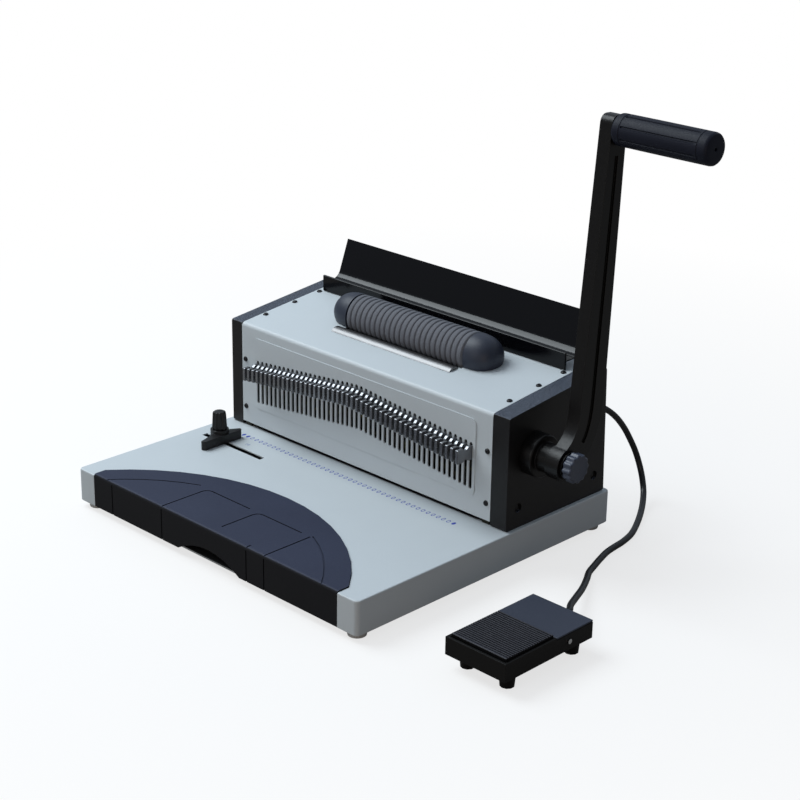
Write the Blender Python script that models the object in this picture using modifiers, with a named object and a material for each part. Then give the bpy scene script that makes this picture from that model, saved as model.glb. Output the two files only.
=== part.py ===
"""A desktop punch and coil binding machine with a pull lever, an electric coil roller and a foot pedal.

Everything is in metres. The machine's own frame has X to the right along the row of punches, with zero in
the middle of the row, Y to the back with zero at the front face of the housing, and Z up with zero on the
table. An empty at the end carries that frame to the middle of the whole object's footprint.
"""

import math

import bmesh
import bpy
from mathutils import Matrix, Vector

# Clearances and sheet
GAP = 0.0003
OVERRUN = 0.004
SHEET = 0.0015
RUNNING_GAP = 0.0004

# Base tray
BASE_MARGIN = 0.0039
BASE_FRONT = 0.1865
BASE_REAR_MARGIN = 0.0053
BASE_HEIGHT = 0.0323
BASE_CORNER = 0.0045
BASE_EDGE = 0.0015
FOOT_HEIGHT = 0.0065
FOOT_RADIUS = 0.0093
FOOT_INSET = 0.0125
FOOT_TAPER = 0.001
FOOT_HOLE_RADIUS = 0.0035
FOOT_HOLE_DEPTH = 0.003

# Armrest
ARMREST_MARGIN = 0.0241
ARMREST_DEPTH = 0.0955
ARMREST_SHOULDER = 0.0135
ARMREST_RISE = 0.0012
ARMREST_SLAB = 0.004
ARMREST_WALL = 0.0035
ARMREST_LIP = 0.006
ARMREST_LIP_THICKNESS = 0.002
ARMREST_EDGE = 0.003
ARCH_HALF = 0.042
ARCH_HEIGHT = 0.0123
GROOVE_WIDTH = 0.0014
GROOVE_DEPTH = 0.0009
GROOVE_SETBACK = 0.0235
GROOVE_CORNER = 0.006
GROOVE_TOP_REACH = 0.057
GROOVE_LEFT_END_SHARE = 0.46
GROOVE_RIGHT_START_SHARE = 0.455
GROOVE_PLACE_SHARES = (-0.388, 0.038, 0.455, 0.316)

# Housing
HOUSING_DEPTH = 0.1367
FRONT_HEIGHT = 0.1082
ROOF_RISE_SHARE = 0.11
THROAT = 0.0045
COVER_BEND = 0.004
COVER_REAR_LIP = 0.012
LEFT_PANEL = 0.0152
RIGHT_PANEL = 0.019
PANEL_WALL = 0.002
PANEL_LEAN = 0.0042
PANEL_CORNER = 0.002
PANEL_SCREW_Y = 0.0156
PANEL_SCREW_HEIGHT = 0.0194
PANEL_BOSS_RADIUS = 0.0065
PANEL_RECESS_RADIUS = 0.0045
PANEL_RECESS_DEPTH = 0.0028
EMBOSS_MARGIN = 0.00195
EMBOSS_LOW = 0.0235
EMBOSS_HIGH = 0.097
EMBOSS_CORNER = 0.005
EMBOSS_RAISE = 0.0008

# Side frames
FRAME_SIDE_GAP = 0.0011
FRAME_THICKNESS = 0.008
WINDOW_FRONT = 0.058
WINDOW_BACK = 0.122
WINDOW_LOW = 0.024
WINDOW_HIGH = 0.092

# Screws
SCREW_HEAD_RADIUS = 0.0028
SCREW_HEAD = 0.0016
SCREW_CROWN_SHARE = 0.5
COVER_SCREW_INSET = 0.0051
COVER_SCREW_HEIGHTS = (0.021, 0.071)
COVER_SCREW_DEPTHS = (0.027, 0.066, 0.100)

# Punches, their pull plates and the die
PIN_COUNT = 46
PIN_PITCH = 0.00635
PIN_Y = 0.0085
PIN_WIDTH = 0.003
PIN_DEPTH = 0.004
PIN_CLEARANCE = 0.0003
TIP_HEIGHT = 0.0052
SLOT_TOP = 0.0744
SLOT_HEIGHT = 0.0453
SLOT_WIDTH = 0.0038
CHEVRON = 0.0144
PLATE_THICKNESS = 0.003
PLATE_TOP = 0.0715
PLATE_HEIGHT = 0.0135
PLATE_REACH = 0.0196
PLATE_HEAD = 0.0080
PLATE_NECK = 0.0035
PLATE_NOTCH = 0.0024
PLATE_TAIL = 0.0125
DIE_THICKNESS = 0.008
DIE_MARGIN = 0.00345
DIE_FRONT = 0.0035
DIE_BACK = 0.025
STOP_BAR_FRONT = 0.0145
GUIDE_TOP = 0.026
GUIDE_SIDE_GAP = 0.0009

# Pressure bar, racks, pinions and lever shaft
BAR_FRONT = 0.0045
BAR_THICKNESS = 0.0065
BAR_BOTTOM = 0.054
BAR_TOP = 0.094
BAR_TONGUE = 0.0035
TONGUE_GAP = 0.0005
SHAFT_Y = 0.033
SHAFT_HEIGHT = 0.0680
SHAFT_RADIUS = 0.008
SHAFT_END = 0.0029
TOOTH_MODULE = 0.002
TEETH = 16
TOOTH_SLACK = 0.0003
DEDENDUM = 1.25
PRESSURE_ANGLE = math.radians(20)
LEVER_SWING = math.radians(80)
RACK_MARGIN = 0.00025
RACK_SIDE_GAP = 0.0028
RACK_WIDTH = 0.0074
RACK_LOW = 0.0545
RACK_TEETH = 7
TOOTH_LEVEL_SHARES = (0, 0.55, 1)
BUSH_RADIUS = 0.011
BUSH_FLANGE = 0.0135
BUSH_FLANGE_THICKNESS = 0.0012
SPRING_RADIUS = 0.0125
SPRING_WIRE = 0.0011
SPRING_TURNS = 5
SPRING_PITCH = 0.0032
SPRING_SETBACK = 0.022

# Lever
HUB_RADIUS = 0.020
HUB_LENGTH = 0.0135
COLLAR_RADIUS = 0.0135
EYE_RADIUS = 0.0155
EYE_STANDOFF = 0.0256
EYE_THICKNESS = 0.015
ARM_THICKNESS = 0.013
ARM_SETBACK = 0.0458
ARM_RISE = 0.2906
ARM_CROWN = 0.0122
ARM_FOOT_SETBACK = 0.0290
ARM_FOOT_RISE = 0.054
ARM_FOOT_HALF = 0.016
ARM_TOP_HALF = 0.0100
ARM_NECK_HALF = 0.0145
ARM_CORNER = 0.0075
ARM_GROOVE = 0.0045
ARM_GROOVE_DEPTH = 0.002
ARM_GROOVE_END_SHARE = 0.86
ARM_FOOT_EASE_SHARE = 0.93
ARM_BEND_SHARES = ((0.72, 0.24), (0.93, 0.47))
KNOB_RADIUS = 0.0128
KNOB_LOBE = 0.0007
KNOB_LOBES = 12
KNOB_LENGTH = 0.0095
KNOB_WASHER = 0.0022
KNOB_STUD_RADIUS = 0.003
KNOB_STUD = 0.012
GRIP_RADIUS = 0.01405
GRIP_LENGTH = 0.0971
GRIP_COLLAR = 0.0095
GRIP_NECK = 0.0005
GRIP_ROUND = 0.0035
GRIP_GROOVES = 8
GRIP_ROD_RADIUS = 0.006
GRIP_HOLE_RADIUS = 0.0016

# Coil tray
TRAY_SIDE_GAP = 0.0066
TRAY_FRONT = 0.1033
TRAY_LIP = 0.0024
TRAY_LIP_HEIGHT = 0.0170
TRAY_FLOOR_RISE = 0.0085
TRAY_FLOOR_DEPTH = 0.0135
TRAY_WALL_SETBACK = 0.0362
TRAY_WALL_RISE = 0.0480
TRAY_SHEET = 0.0012
TRAY_BEND = 0.012
TRAY_SPACER_X = 0.110
TRAY_SPACER_SHARE = 0.55
TRAY_SPACER_RADIUS = 0.0045

# Coil roller
ROLLER_X = 0.0041
ROLLER_Y = 0.071
ROLLER_LIFT = 0.0078
SLEEVE_RADIUS = 0.020
SLEEVE_HALF = 0.0763
SLEEVE_GROOVE = 0.0011
SLEEVE_RIBS = 23
ROLLER_SHAFT_RADIUS = 0.004
CAP_LENGTH = 0.0275
CAP_RADIUS = 0.0205
CAP_WALL = 0.0025
CAP_WEB = 0.003
CAP_WEB_OFFSET = 0.0022
ROLLER_BUSH_RADIUS = 0.007
ROLLER_OPENING = 0.0200
BELT_OPENING = 0.0131
BELT_STANDOFF = 0.0112
BELT_WIDTH = 0.005
BELT_THICKNESS = 0.0014
ROLLER_PULLEY_RADIUS = 0.0095
MOTOR_PULLEY_RADIUS = 0.006
MOTOR_HEIGHT = 0.074
MOTOR_RADIUS = 0.018
MOTOR_LENGTH = 0.050
MOTOR_SHAFT_RADIUS = 0.002
MOTOR_PLATE = 0.002
MOTOR_PLATE_SETBACK = 0.0075
MOTOR_PLATE_MARGIN = 0.004
GUARD_OVERLAP = 0.0022
GUARD_STANDOFF = 0.0333
GUARD_WIDTH = 0.0127
GUARD_HEIGHT = 0.0028

# Rear wall fittings
GLAND_INSET = 0.0151
GLAND_HEIGHT = 0.065
GLAND_RADIUS = 0.0075
GLAND_FLANGE = 0.003
GLAND_LENGTH = 0.022
CORD_RADIUS = 0.003
INLET_INSET = 0.0421
INLET_HEIGHT = 0.024
INLET_WIDTH = 0.027
INLET_TALL = 0.020
INLET_DEPTH = 0.018
INLET_FLANGE = 0.004
INLET_WALL = 0.0022
BLADE_WIDTH = 0.002
BLADE_TALL = 0.004
BLADE_SPACING = 0.007
SWITCH_INSET = 0.0821
SWITCH_WIDTH = 0.013
SWITCH_TALL = 0.019
SWITCH_DEPTH = 0.014
SWITCH_RIM = 0.0018
SWITCH_ANGLE = math.radians(7)
ROCKER_PROUD = 0.0022
VENT_COUNT = 9
VENT_PITCH = 0.007
VENT_WIDTH = 0.003
VENT_LENGTH = 0.030
VENT_HEIGHT = 0.040
VENT_X = -0.028

# Chip drawer
DRAWER_FRONT = -0.004
DRAWER_BACK = 0.040
DRAWER_HEIGHT = 0.0100
DRAWER_END = 0.148
DRAWER_WALL = 0.0015
DRAWER_PULL = 0.004
DRAWER_PULL_HALF = 0.014
DRAWER_PULL_THICKNESS = 0.0025
RUNNER_WIDTH = 0.003

# Side stop
SLOT_LEFT = -0.173
SLOT_RIGHT = -0.087
SLOT_Y = -0.0455
STOP_SLOT_WIDTH = 0.0065
STOP_FACE = -0.139
STOP_X = -0.150
STOP_FRONT = 0.029
STOP_REAR = 0.0205
STOP_LIMB = 0.0046
STOP_LIMB_HEIGHT = 0.009
STOP_HUB_RADIUS = 0.0092
STOP_HUB_HEIGHT = 0.0125
STOP_KEY = 0.0055
STOP_NUT = 0.0064
STOP_NUT_THICKNESS = 0.0025
STOP_STUD_RADIUS = 0.002
STOP_KNOB_RADIUS = 0.0074
STOP_KNOB_TOP = 0.0066
STOP_KNOB_HEIGHT = 0.018
STOP_KNOB_FLUTES = 10
STOP_FLUTE_SHARE = 0.08
STOP_RAIL_WALL = 0.0015
STOP_RAIL_DEPTH = 0.009
STOP_RAIL_WIDTH = 0.017
STOP_RAIL_MARGIN = 0.005

# Foot pedal
PEDAL_STANDOFF = 0.0763
PEDAL_Y = -0.1084
PEDAL_WIDTH = 0.0646
PEDAL_LENGTH = 0.1072
PEDAL_FOOT = 0.0123
PEDAL_FOOT_RADIUS = 0.0062
PEDAL_FOOT_TAPER = 0.0012
PEDAL_FOOT_INSET = 0.0111
PEDAL_FRONT_FOOT = 0.0155
PEDAL_REAR_FOOT = 0.0126
PEDAL_REAR_HEIGHT = 0.0269
PEDAL_FRONT_HEIGHT = 0.0286
PEDAL_WALL = 0.0026
PEDAL_FLOOR = 0.0018
PEDAL_COVER = 0.0016
PEDAL_SPLIT = 0.0080
TREADLE_TOP = 0.0303
TREADLE_PLATE = 0.0028
TREADLE_GAP = 0.0006
TREADLE_FRONT_GAP = 0.0014
TREADLE_CHEEK = 0.0026
TREADLE_CHEEK_LOW = 0.0241
TREADLE_CHEEK_DROP = 0.0035
RIB_COUNT = 23
RIB_HEIGHT = 0.0010
PIVOT_SETBACK = 0.0235
PIVOT_HEIGHT = 0.0206
PIVOT_RADIUS = 0.0022
PIVOT_BOSS = 0.0036
PIVOT_PROUD = 0.0014
PEDAL_SPRING_RADIUS = 0.0032
PEDAL_SPRING_WIRE = 0.0006
PEDAL_SPRING_TURNS = 4
PEDAL_SPRING_PITCH = 0.0018
MICROSWITCH = (0.020, 0.010, 0.0078)
MICROSWITCH_Y = -0.015
PLUNGER_RADIUS = 0.0012
PLUNGER_HEIGHT = 0.0008
PEDAL_GLAND_X = -0.0040
PEDAL_GLAND_HEIGHT = 0.0185
PEDAL_GLAND_RADIUS = 0.0048
PEDAL_GLAND_LENGTH = 0.0075

# The pedal cord's route from gland to gland, chosen by hand; its first and last points are worked out.
CORD_ROUTE = (
    (0.1525, 0.1755, 0.1000),
    (0.1547, 0.1897, 0.0890),
    (0.1563, 0.2028, 0.0740),
    (0.1587, 0.2121, 0.0580),
    (0.1619, 0.2170, 0.0450),
    (0.1663, 0.2190, 0.0310),
    (0.1723, 0.2162, 0.0200),
    (0.1799, 0.2088, 0.0110),
    (0.1918, 0.1917, 0.0055),
    (0.2060, 0.1674, 0.0034),
    (0.2185, 0.1420, 0.0032),
    (0.2238, 0.1222, 0.0032),
    (0.2254, 0.1085, 0.0032),
    (0.2275, 0.0942, 0.0032),
    (0.2319, 0.0794, 0.0032),
    (0.2375, 0.0633, 0.0032),
    (0.2426, 0.0500, 0.0033),
    (0.2514, 0.0357, 0.0043),
    (0.2634, 0.0148, 0.0070),
    (0.2764, -0.0101, 0.0120),
    (0.2862, -0.0285, 0.0158),
)
CORD_STEP = 0.0095

# Counts of facets
ROUND_STEPS = 16
SMALL_STEPS = 10
FINE_STEPS = 24
SCREW_STEPS = 6
CAP_STEPS = 8
CORNER_STEPS = 3
SLOT_STEPS = 3

# Places worked out from the sizes above
ROW_HALF = PIN_COUNT * PIN_PITCH / 2
RACK_CENTRE = ROW_HALF + RACK_MARGIN + RACK_WIDTH / 2
FRAME_INNER = RACK_CENTRE + RACK_WIDTH / 2 + RACK_SIDE_GAP
COVER_WIDTH = 2 * (FRAME_INNER + FRAME_THICKNESS + FRAME_SIDE_GAP + SHEET)
COVER_SCREW_X = COVER_WIDTH / 2 - COVER_SCREW_INSET
EMBOSS_HALF = ROW_HALF + EMBOSS_MARGIN
DIE_HALF = ROW_HALF + DIE_MARGIN
GUIDE_HALF = FRAME_INNER - GUIDE_SIDE_GAP
BAR_HALF = FRAME_INNER + BAR_TONGUE
SHAFT_LEFT = COVER_WIDTH / 2 + SHAFT_END
SPRING_START = RACK_CENTRE - SPRING_SETBACK
TRAY_WIDTH = COVER_WIDTH - 2 * TRAY_SIDE_GAP
GLAND_X = COVER_WIDTH / 2 - GLAND_INSET
INLET_X = INLET_INSET - COVER_WIDTH / 2
SWITCH_X = SWITCH_INSET - COVER_WIDTH / 2
PANEL_LEFT_X = -(COVER_WIDTH / 2 + GAP + LEFT_PANEL)
PANEL_RIGHT_X = COVER_WIDTH / 2 + GAP + RIGHT_PANEL
BASE_WIDTH = 2 * (PANEL_RIGHT_X + BASE_MARGIN)
BASE_BACK = HOUSING_DEPTH + BASE_REAR_MARGIN
BELT_X = SLEEVE_HALF + BELT_STANDOFF
MOTOR_PLATE_X = BELT_X - MOTOR_PLATE_SETBACK
GUARD_HALF = SLEEVE_HALF + GUARD_OVERLAP
GUARD_FRONT = ROLLER_Y - GUARD_STANDOFF
ARMREST_HALF = BASE_WIDTH / 2 - ARMREST_MARGIN
EYE_INNER = PANEL_RIGHT_X + EYE_STANDOFF
PEDAL_X = BASE_WIDTH / 2 + PEDAL_STANDOFF + PEDAL_WIDTH / 2
BASE_BOTTOM = FOOT_HEIGHT
BASE_TOP = BASE_BOTTOM + BASE_HEIGHT
ROOF_SHEET = SHEET * math.hypot(1, ROOF_RISE_SHARE)
PITCH_RADIUS = TOOTH_MODULE * TEETH / 2
STROKE = PITCH_RADIUS * LEVER_SWING
SHAFT_Z = BASE_TOP + SHAFT_HEIGHT
ARM_OUTER = EYE_INNER + EYE_THICKNESS
GRIP_Y = SHAFT_Y + ARM_SETBACK
GRIP_Z = SHAFT_Z + ARM_RISE
ROLLER_Z = BASE_TOP + FRONT_HEIGHT + ROOF_RISE_SHARE * ROLLER_Y + ROLLER_LIFT
MOTOR_Y = ROLLER_Y
MOTOR_Z = BASE_TOP + MOTOR_HEIGHT
PEDAL_REAR_Y = PEDAL_Y + PEDAL_LENGTH / 2
PIVOT_Y = PEDAL_Y + PIVOT_SETBACK
REACH_LEFT = -(BASE_WIDTH / 2 + DRAWER_PULL)
REACH_RIGHT = max(ARM_OUTER + GAP + GRIP_LENGTH, PEDAL_X + PEDAL_WIDTH / 2 + PIVOT_PROUD)
REACH_FRONT = -BASE_FRONT
REACH_BACK = max(BASE_BACK, HOUSING_DEPTH + GLAND_LENGTH)
MIDDLE = Vector(((REACH_LEFT + REACH_RIGHT) / 2, (REACH_FRONT + REACH_BACK) / 2, 0))

for old in list(bpy.data.objects):
    bpy.data.objects.remove(old, do_unlink=True)

machine = bpy.data.collections.new("binding_machine")
cutters = bpy.data.collections.new("cutters")
bpy.context.scene.collection.children.link(machine)
bpy.context.scene.collection.children.link(cutters)
cutters.hide_render = True

frame_point = bpy.data.objects.new("machine_frame", None)
frame_point.location = -MIDDLE
machine.objects.link(frame_point)

FINISHES = {
    "pale_paint": ((0.62, 0.68, 0.72), 0.42, 0.0),
    "black_powder": ((0.018, 0.018, 0.020), 0.55, 0.0),
    "gloss_black": ((0.010, 0.010, 0.012), 0.22, 0.0),
    "armrest_plastic": ((0.040, 0.048, 0.070), 0.60, 0.0),
    "black_plastic": ((0.020, 0.020, 0.022), 0.45, 0.0),
    "grip_rubber": ((0.025, 0.028, 0.038), 0.60, 0.0),
    "knob_plastic": ((0.090, 0.100, 0.130), 0.45, 0.0),
    "grey_rubber": ((0.170, 0.170, 0.175), 0.75, 0.0),
    "foot_rubber": ((0.550, 0.550, 0.540), 0.70, 0.0),
    "chrome": ((0.800, 0.810, 0.820), 0.12, 1.0),
    "steel": ((0.560, 0.570, 0.580), 0.35, 1.0),
    "black_screw": ((0.030, 0.030, 0.032), 0.35, 0.8),
    "brass": ((0.720, 0.560, 0.230), 0.30, 1.0),
    "copper_motor": ((0.450, 0.460, 0.470), 0.40, 1.0),
    "pedal_black": ((0.022, 0.020, 0.018), 0.50, 0.0),
    "pedal_slate": ((0.050, 0.056, 0.075), 0.50, 0.0),
    "cord_rubber": ((0.012, 0.012, 0.014), 0.40, 0.0),
}


def finish(name):
    """The material of one finish, made the first time that it is asked for."""
    found = bpy.data.materials.get(name)
    if found:
        return found
    colour, roughness, metallic = FINISHES[name]
    made = bpy.data.materials.new(name)
    made.use_nodes = True
    shader = made.node_tree.nodes["Principled BSDF"]
    shader.inputs["Base Color"].default_value = (*colour, 1)
    shader.inputs["Roughness"].default_value = roughness
    shader.inputs["Metallic"].default_value = metallic
    return made


def place(name, mesh, material=None, pivot=(0, 0, 0), smooth=False):
    """Puts a mesh that is drawn in machine places into an object whose origin is at pivot."""
    made = bpy.data.objects.new(name, mesh)
    mesh.transform(Matrix.Translation(-Vector(pivot)))
    made.location = pivot
    made.parent = frame_point
    if smooth:
        mesh.shade_smooth()
        mesh.set_sharp_from_angle(angle=math.radians(40))
    if material:
        mesh.materials.append(finish(material))
        machine.objects.link(made)
    else:
        cutters.objects.link(made)
        made.hide_render = True
        made.display_type = "WIRE"
    return made


def mesh_from(name, shape):
    """Turns a bmesh into a mesh and frees it."""
    mesh = bpy.data.meshes.new(name)
    shape.to_mesh(mesh)
    shape.free()
    return mesh


def add_box(shape, low, high):
    """Adds a box between two corners to a bmesh, and returns its points."""
    size = [high[i] - low[i] for i in range(3)]
    middle = [(high[i] + low[i]) / 2 for i in range(3)]
    grown = Matrix.Translation(middle) @ Matrix.Diagonal((*size, 1))
    return bmesh.ops.create_cube(shape, size=1, matrix=grown)["verts"]


def boxes(name, corners, material=None, pivot=(0, 0, 0)):
    """One object of separate boxes, each given by its lowest and highest corner."""
    shape = bmesh.new()
    for low, high in corners:
        add_box(shape, low, high)
    return place(name, mesh_from(name, shape), material, pivot)


AXIS_TURN = {
    "X": Matrix.Rotation(math.radians(90), 4, "Y"),
    "Y": Matrix.Rotation(math.radians(-90), 4, "X"),
    "Z": Matrix.Identity(4),
}


def add_rod(shape, start, length, radius, axis, steps=ROUND_STEPS, end_radius=None):
    """Adds a round bar that runs from start along an axis."""
    tip = radius if end_radius is None else end_radius
    turn = Matrix.Translation(start) @ AXIS_TURN[axis] @ Matrix.Translation((0, 0, length / 2))
    bmesh.ops.create_cone(
        shape, cap_ends=True, segments=steps, radius1=radius, radius2=tip, depth=length, matrix=turn
    )


def rods(name, bars, material=None, pivot=(0, 0, 0), steps=ROUND_STEPS):
    """One object of separate round bars: start, length, radius and axis of each."""
    shape = bmesh.new()
    for start, length, radius, axis in bars:
        add_rod(shape, start, length, radius, axis, steps)
    return place(name, mesh_from(name, shape), material, pivot, smooth=True)


PLANES = {
    "XY": Matrix.Identity(4),
    "YZ": Matrix(((0, 0, 1, 0), (1, 0, 0, 0), (0, 1, 0, 0), (0, 0, 0, 1))),
    "XZ": Matrix(((1, 0, 0, 0), (0, 0, -1, 0), (0, 1, 0, 0), (0, 0, 0, 1))),
}


def outline_mesh(name, loops, plane, low, high):
    """The closed mesh of a flat outline with holes, made thick between two places along its normal."""
    curve = bpy.data.curves.new(name, "CURVE")
    curve.dimensions = "2D"
    curve.fill_mode = "BOTH"
    curve.extrude = (high - low) / 2
    for loop in loops:
        spline = curve.splines.new("POLY")
        spline.points.add(len(loop) - 1)
        for point, (across, along) in zip(spline.points, loop):
            point.co = (across, along, 0, 1)
        spline.use_cyclic_u = True
    drawn = bpy.data.objects.new(name, curve)
    machine.objects.link(drawn)
    evaluated = drawn.evaluated_get(bpy.context.evaluated_depsgraph_get())
    shape = bmesh.new()
    mesh = bpy.data.meshes.new_from_object(evaluated)
    shape.from_mesh(mesh)
    bpy.data.objects.remove(drawn, do_unlink=True)
    bpy.data.meshes.remove(mesh)
    bmesh.ops.remove_doubles(shape, verts=shape.verts[:], dist=OVERRUN / 10000)
    normal = -1 if plane == "XZ" else 1
    lift = Matrix.Translation((0, 0, normal * (low + high) / 2))
    bmesh.ops.transform(shape, matrix=PLANES[plane] @ lift, verts=shape.verts[:])
    bmesh.ops.recalc_face_normals(shape, faces=shape.faces[:])
    return mesh_from(name, shape)


def outline(name, loops, plane, low, high, material=None, pivot=(0, 0, 0), smooth=False):
    """An object made from a flat outline with holes."""
    return place(name, outline_mesh(name, loops, plane, low, high), material, pivot, smooth)


def turned_mesh(name, profile, steps, closed=False):
    """A turned closed mesh round Z. The profile's points are radius and height, down the outer side."""
    shape = bmesh.new()
    points = [shape.verts.new((radius, 0, height)) for radius, height in profile]
    links = list(zip(points, points[1:]))
    if closed:
        links.append((points[-1], points[0]))
    for first, second in links:
        shape.edges.new((first, second))
    spun = bpy.data.objects.new(name, mesh_from(name, shape))
    machine.objects.link(spun)
    screw = spun.modifiers.new("turn", "SCREW")
    screw.steps = steps
    screw.render_steps = steps
    screw.use_merge_vertices = True
    screw.merge_threshold = OVERRUN / 1000
    evaluated = spun.evaluated_get(bpy.context.evaluated_depsgraph_get())
    mesh = bpy.data.meshes.new_from_object(evaluated)
    bpy.data.objects.remove(spun, do_unlink=True)
    return mesh


def turned(name, profile, start, axis, material=None, pivot=(0, 0, 0), steps=ROUND_STEPS, closed=False):
    """A turned piece whose axis leaves start along X, Y or Z."""
    mesh = turned_mesh(name, profile, steps, closed)
    mesh.transform(Matrix.Translation(start) @ AXIS_TURN[axis])
    return place(name, mesh, material, pivot, smooth=True)


def gathered(name, meshes, material=None, pivot=(0, 0, 0), smooth=False):
    """One object from several meshes, each with its own matrix."""
    shape = bmesh.new()
    for mesh, matrix in meshes:
        mesh.transform(matrix)
        shape.from_mesh(mesh)
        bpy.data.meshes.remove(mesh)
    return place(name, mesh_from(name, shape), material, pivot, smooth)


def wire(name, points, radius, material, resolution=2, pivot=(0, 0, 0)):
    """A round wire or cord through points, with closed ends."""
    curve = bpy.data.curves.new(name, "CURVE")
    curve.dimensions = "3D"
    curve.bevel_depth = radius
    curve.bevel_resolution = resolution
    curve.use_fill_caps = True
    spline = curve.splines.new("POLY")
    spline.points.add(len(points) - 1)
    for knot, place_of in zip(spline.points, points):
        knot.co = (*(Vector(place_of) - Vector(pivot)), 1)
    made = bpy.data.objects.new(name, curve)
    made.location = pivot
    made.parent = frame_point
    curve.materials.append(finish(material))
    machine.objects.link(made)
    return made


def combine(body, tool, how):
    """Joins or cuts with a live Boolean, and keeps the tool among the cutters."""
    boolean = body.modifiers.new(how.lower(), "BOOLEAN")
    boolean.operation = how
    boolean.object = tool
    boolean.solver = "EXACT"


def cut(body, tool):
    combine(body, tool, "DIFFERENCE")


def join(body, tool):
    combine(body, tool, "UNION")


def arc(middle, radius, start, end, steps):
    """Points on an arc between two angles, both ends included."""
    turns = [start + (end - start) * i / steps for i in range(steps + 1)]
    return [(middle[0] + radius * math.cos(t), middle[1] + radius * math.sin(t)) for t in turns]


def circle(middle, radius, steps=ROUND_STEPS):
    return arc(middle, radius, 0, math.tau * (steps - 1) / steps, steps - 1)


def rectangle(low, high, corner=0, steps=CORNER_STEPS):
    """A rectangle's outline, with round corners where a radius is given."""
    if not corner:
        return [(low[0], low[1]), (high[0], low[1]), (high[0], high[1]), (low[0], high[1])]
    quarter = math.pi / 2
    points = arc((high[0] - corner, low[1] + corner), corner, -quarter, 0, steps)
    points += arc((high[0] - corner, high[1] - corner), corner, 0, quarter, steps)
    points += arc((low[0] + corner, high[1] - corner), corner, quarter, 2 * quarter, steps)
    points += arc((low[0] + corner, low[1] + corner), corner, 2 * quarter, 3 * quarter, steps)
    return points


def softened(points, radius, steps=CORNER_STEPS):
    """A path whose inner corners are rounded with arcs of one radius."""
    soft = [points[0]]
    for before, corner, after in zip(points, points[1:], points[2:]):
        corner = Vector(corner)
        back = (Vector(before) - corner).normalized()
        on = (Vector(after) - corner).normalized()
        half = back.angle(on) / 2
        reach = radius / math.tan(half)
        middle = corner + (back + on).normalized() * radius / math.sin(half)
        first = corner + back * reach - middle
        second = corner + on * reach - middle
        start = math.atan2(first.y, first.x)
        turn = math.atan2(first.x * second.y - first.y * second.x, first.dot(second))
        soft += arc(middle, radius, start, start + turn, steps)
    soft.append(points[-1])
    return soft


def strip(path, thickness):
    """The outline of a bent sheet: the path and its copy, offset to the left of its run."""
    offset = []
    for i, point in enumerate(path):
        before = Vector(path[max(i - 1, 0)])
        after = Vector(path[min(i + 1, len(path) - 1)])
        here = Vector(point)
        runs = [run.normalized() for run in (here - before, after - here) if run.length > 0]
        along = sum(runs, Vector((0, 0))).normalized()
        stretch = 1 / max(along.dot(runs[0]), 0.2)
        offset.append(tuple(here + Vector((-along.y, along.x)) * thickness * stretch))
    return list(path) + offset[::-1]


def roof(y):
    """Height of the outer face of the sloping top at a place from front to back."""
    return BASE_TOP + FRONT_HEIGHT + ROOF_RISE_SHARE * y


def pin_x(number):
    return (number - (PIN_COUNT - 1) / 2) * PIN_PITCH


def chevron(number):
    """How much higher a punch stands than the two end ones."""
    middle = (PIN_COUNT - 1) / 2
    return CHEVRON * (1 - abs(number - middle) / middle)


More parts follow.
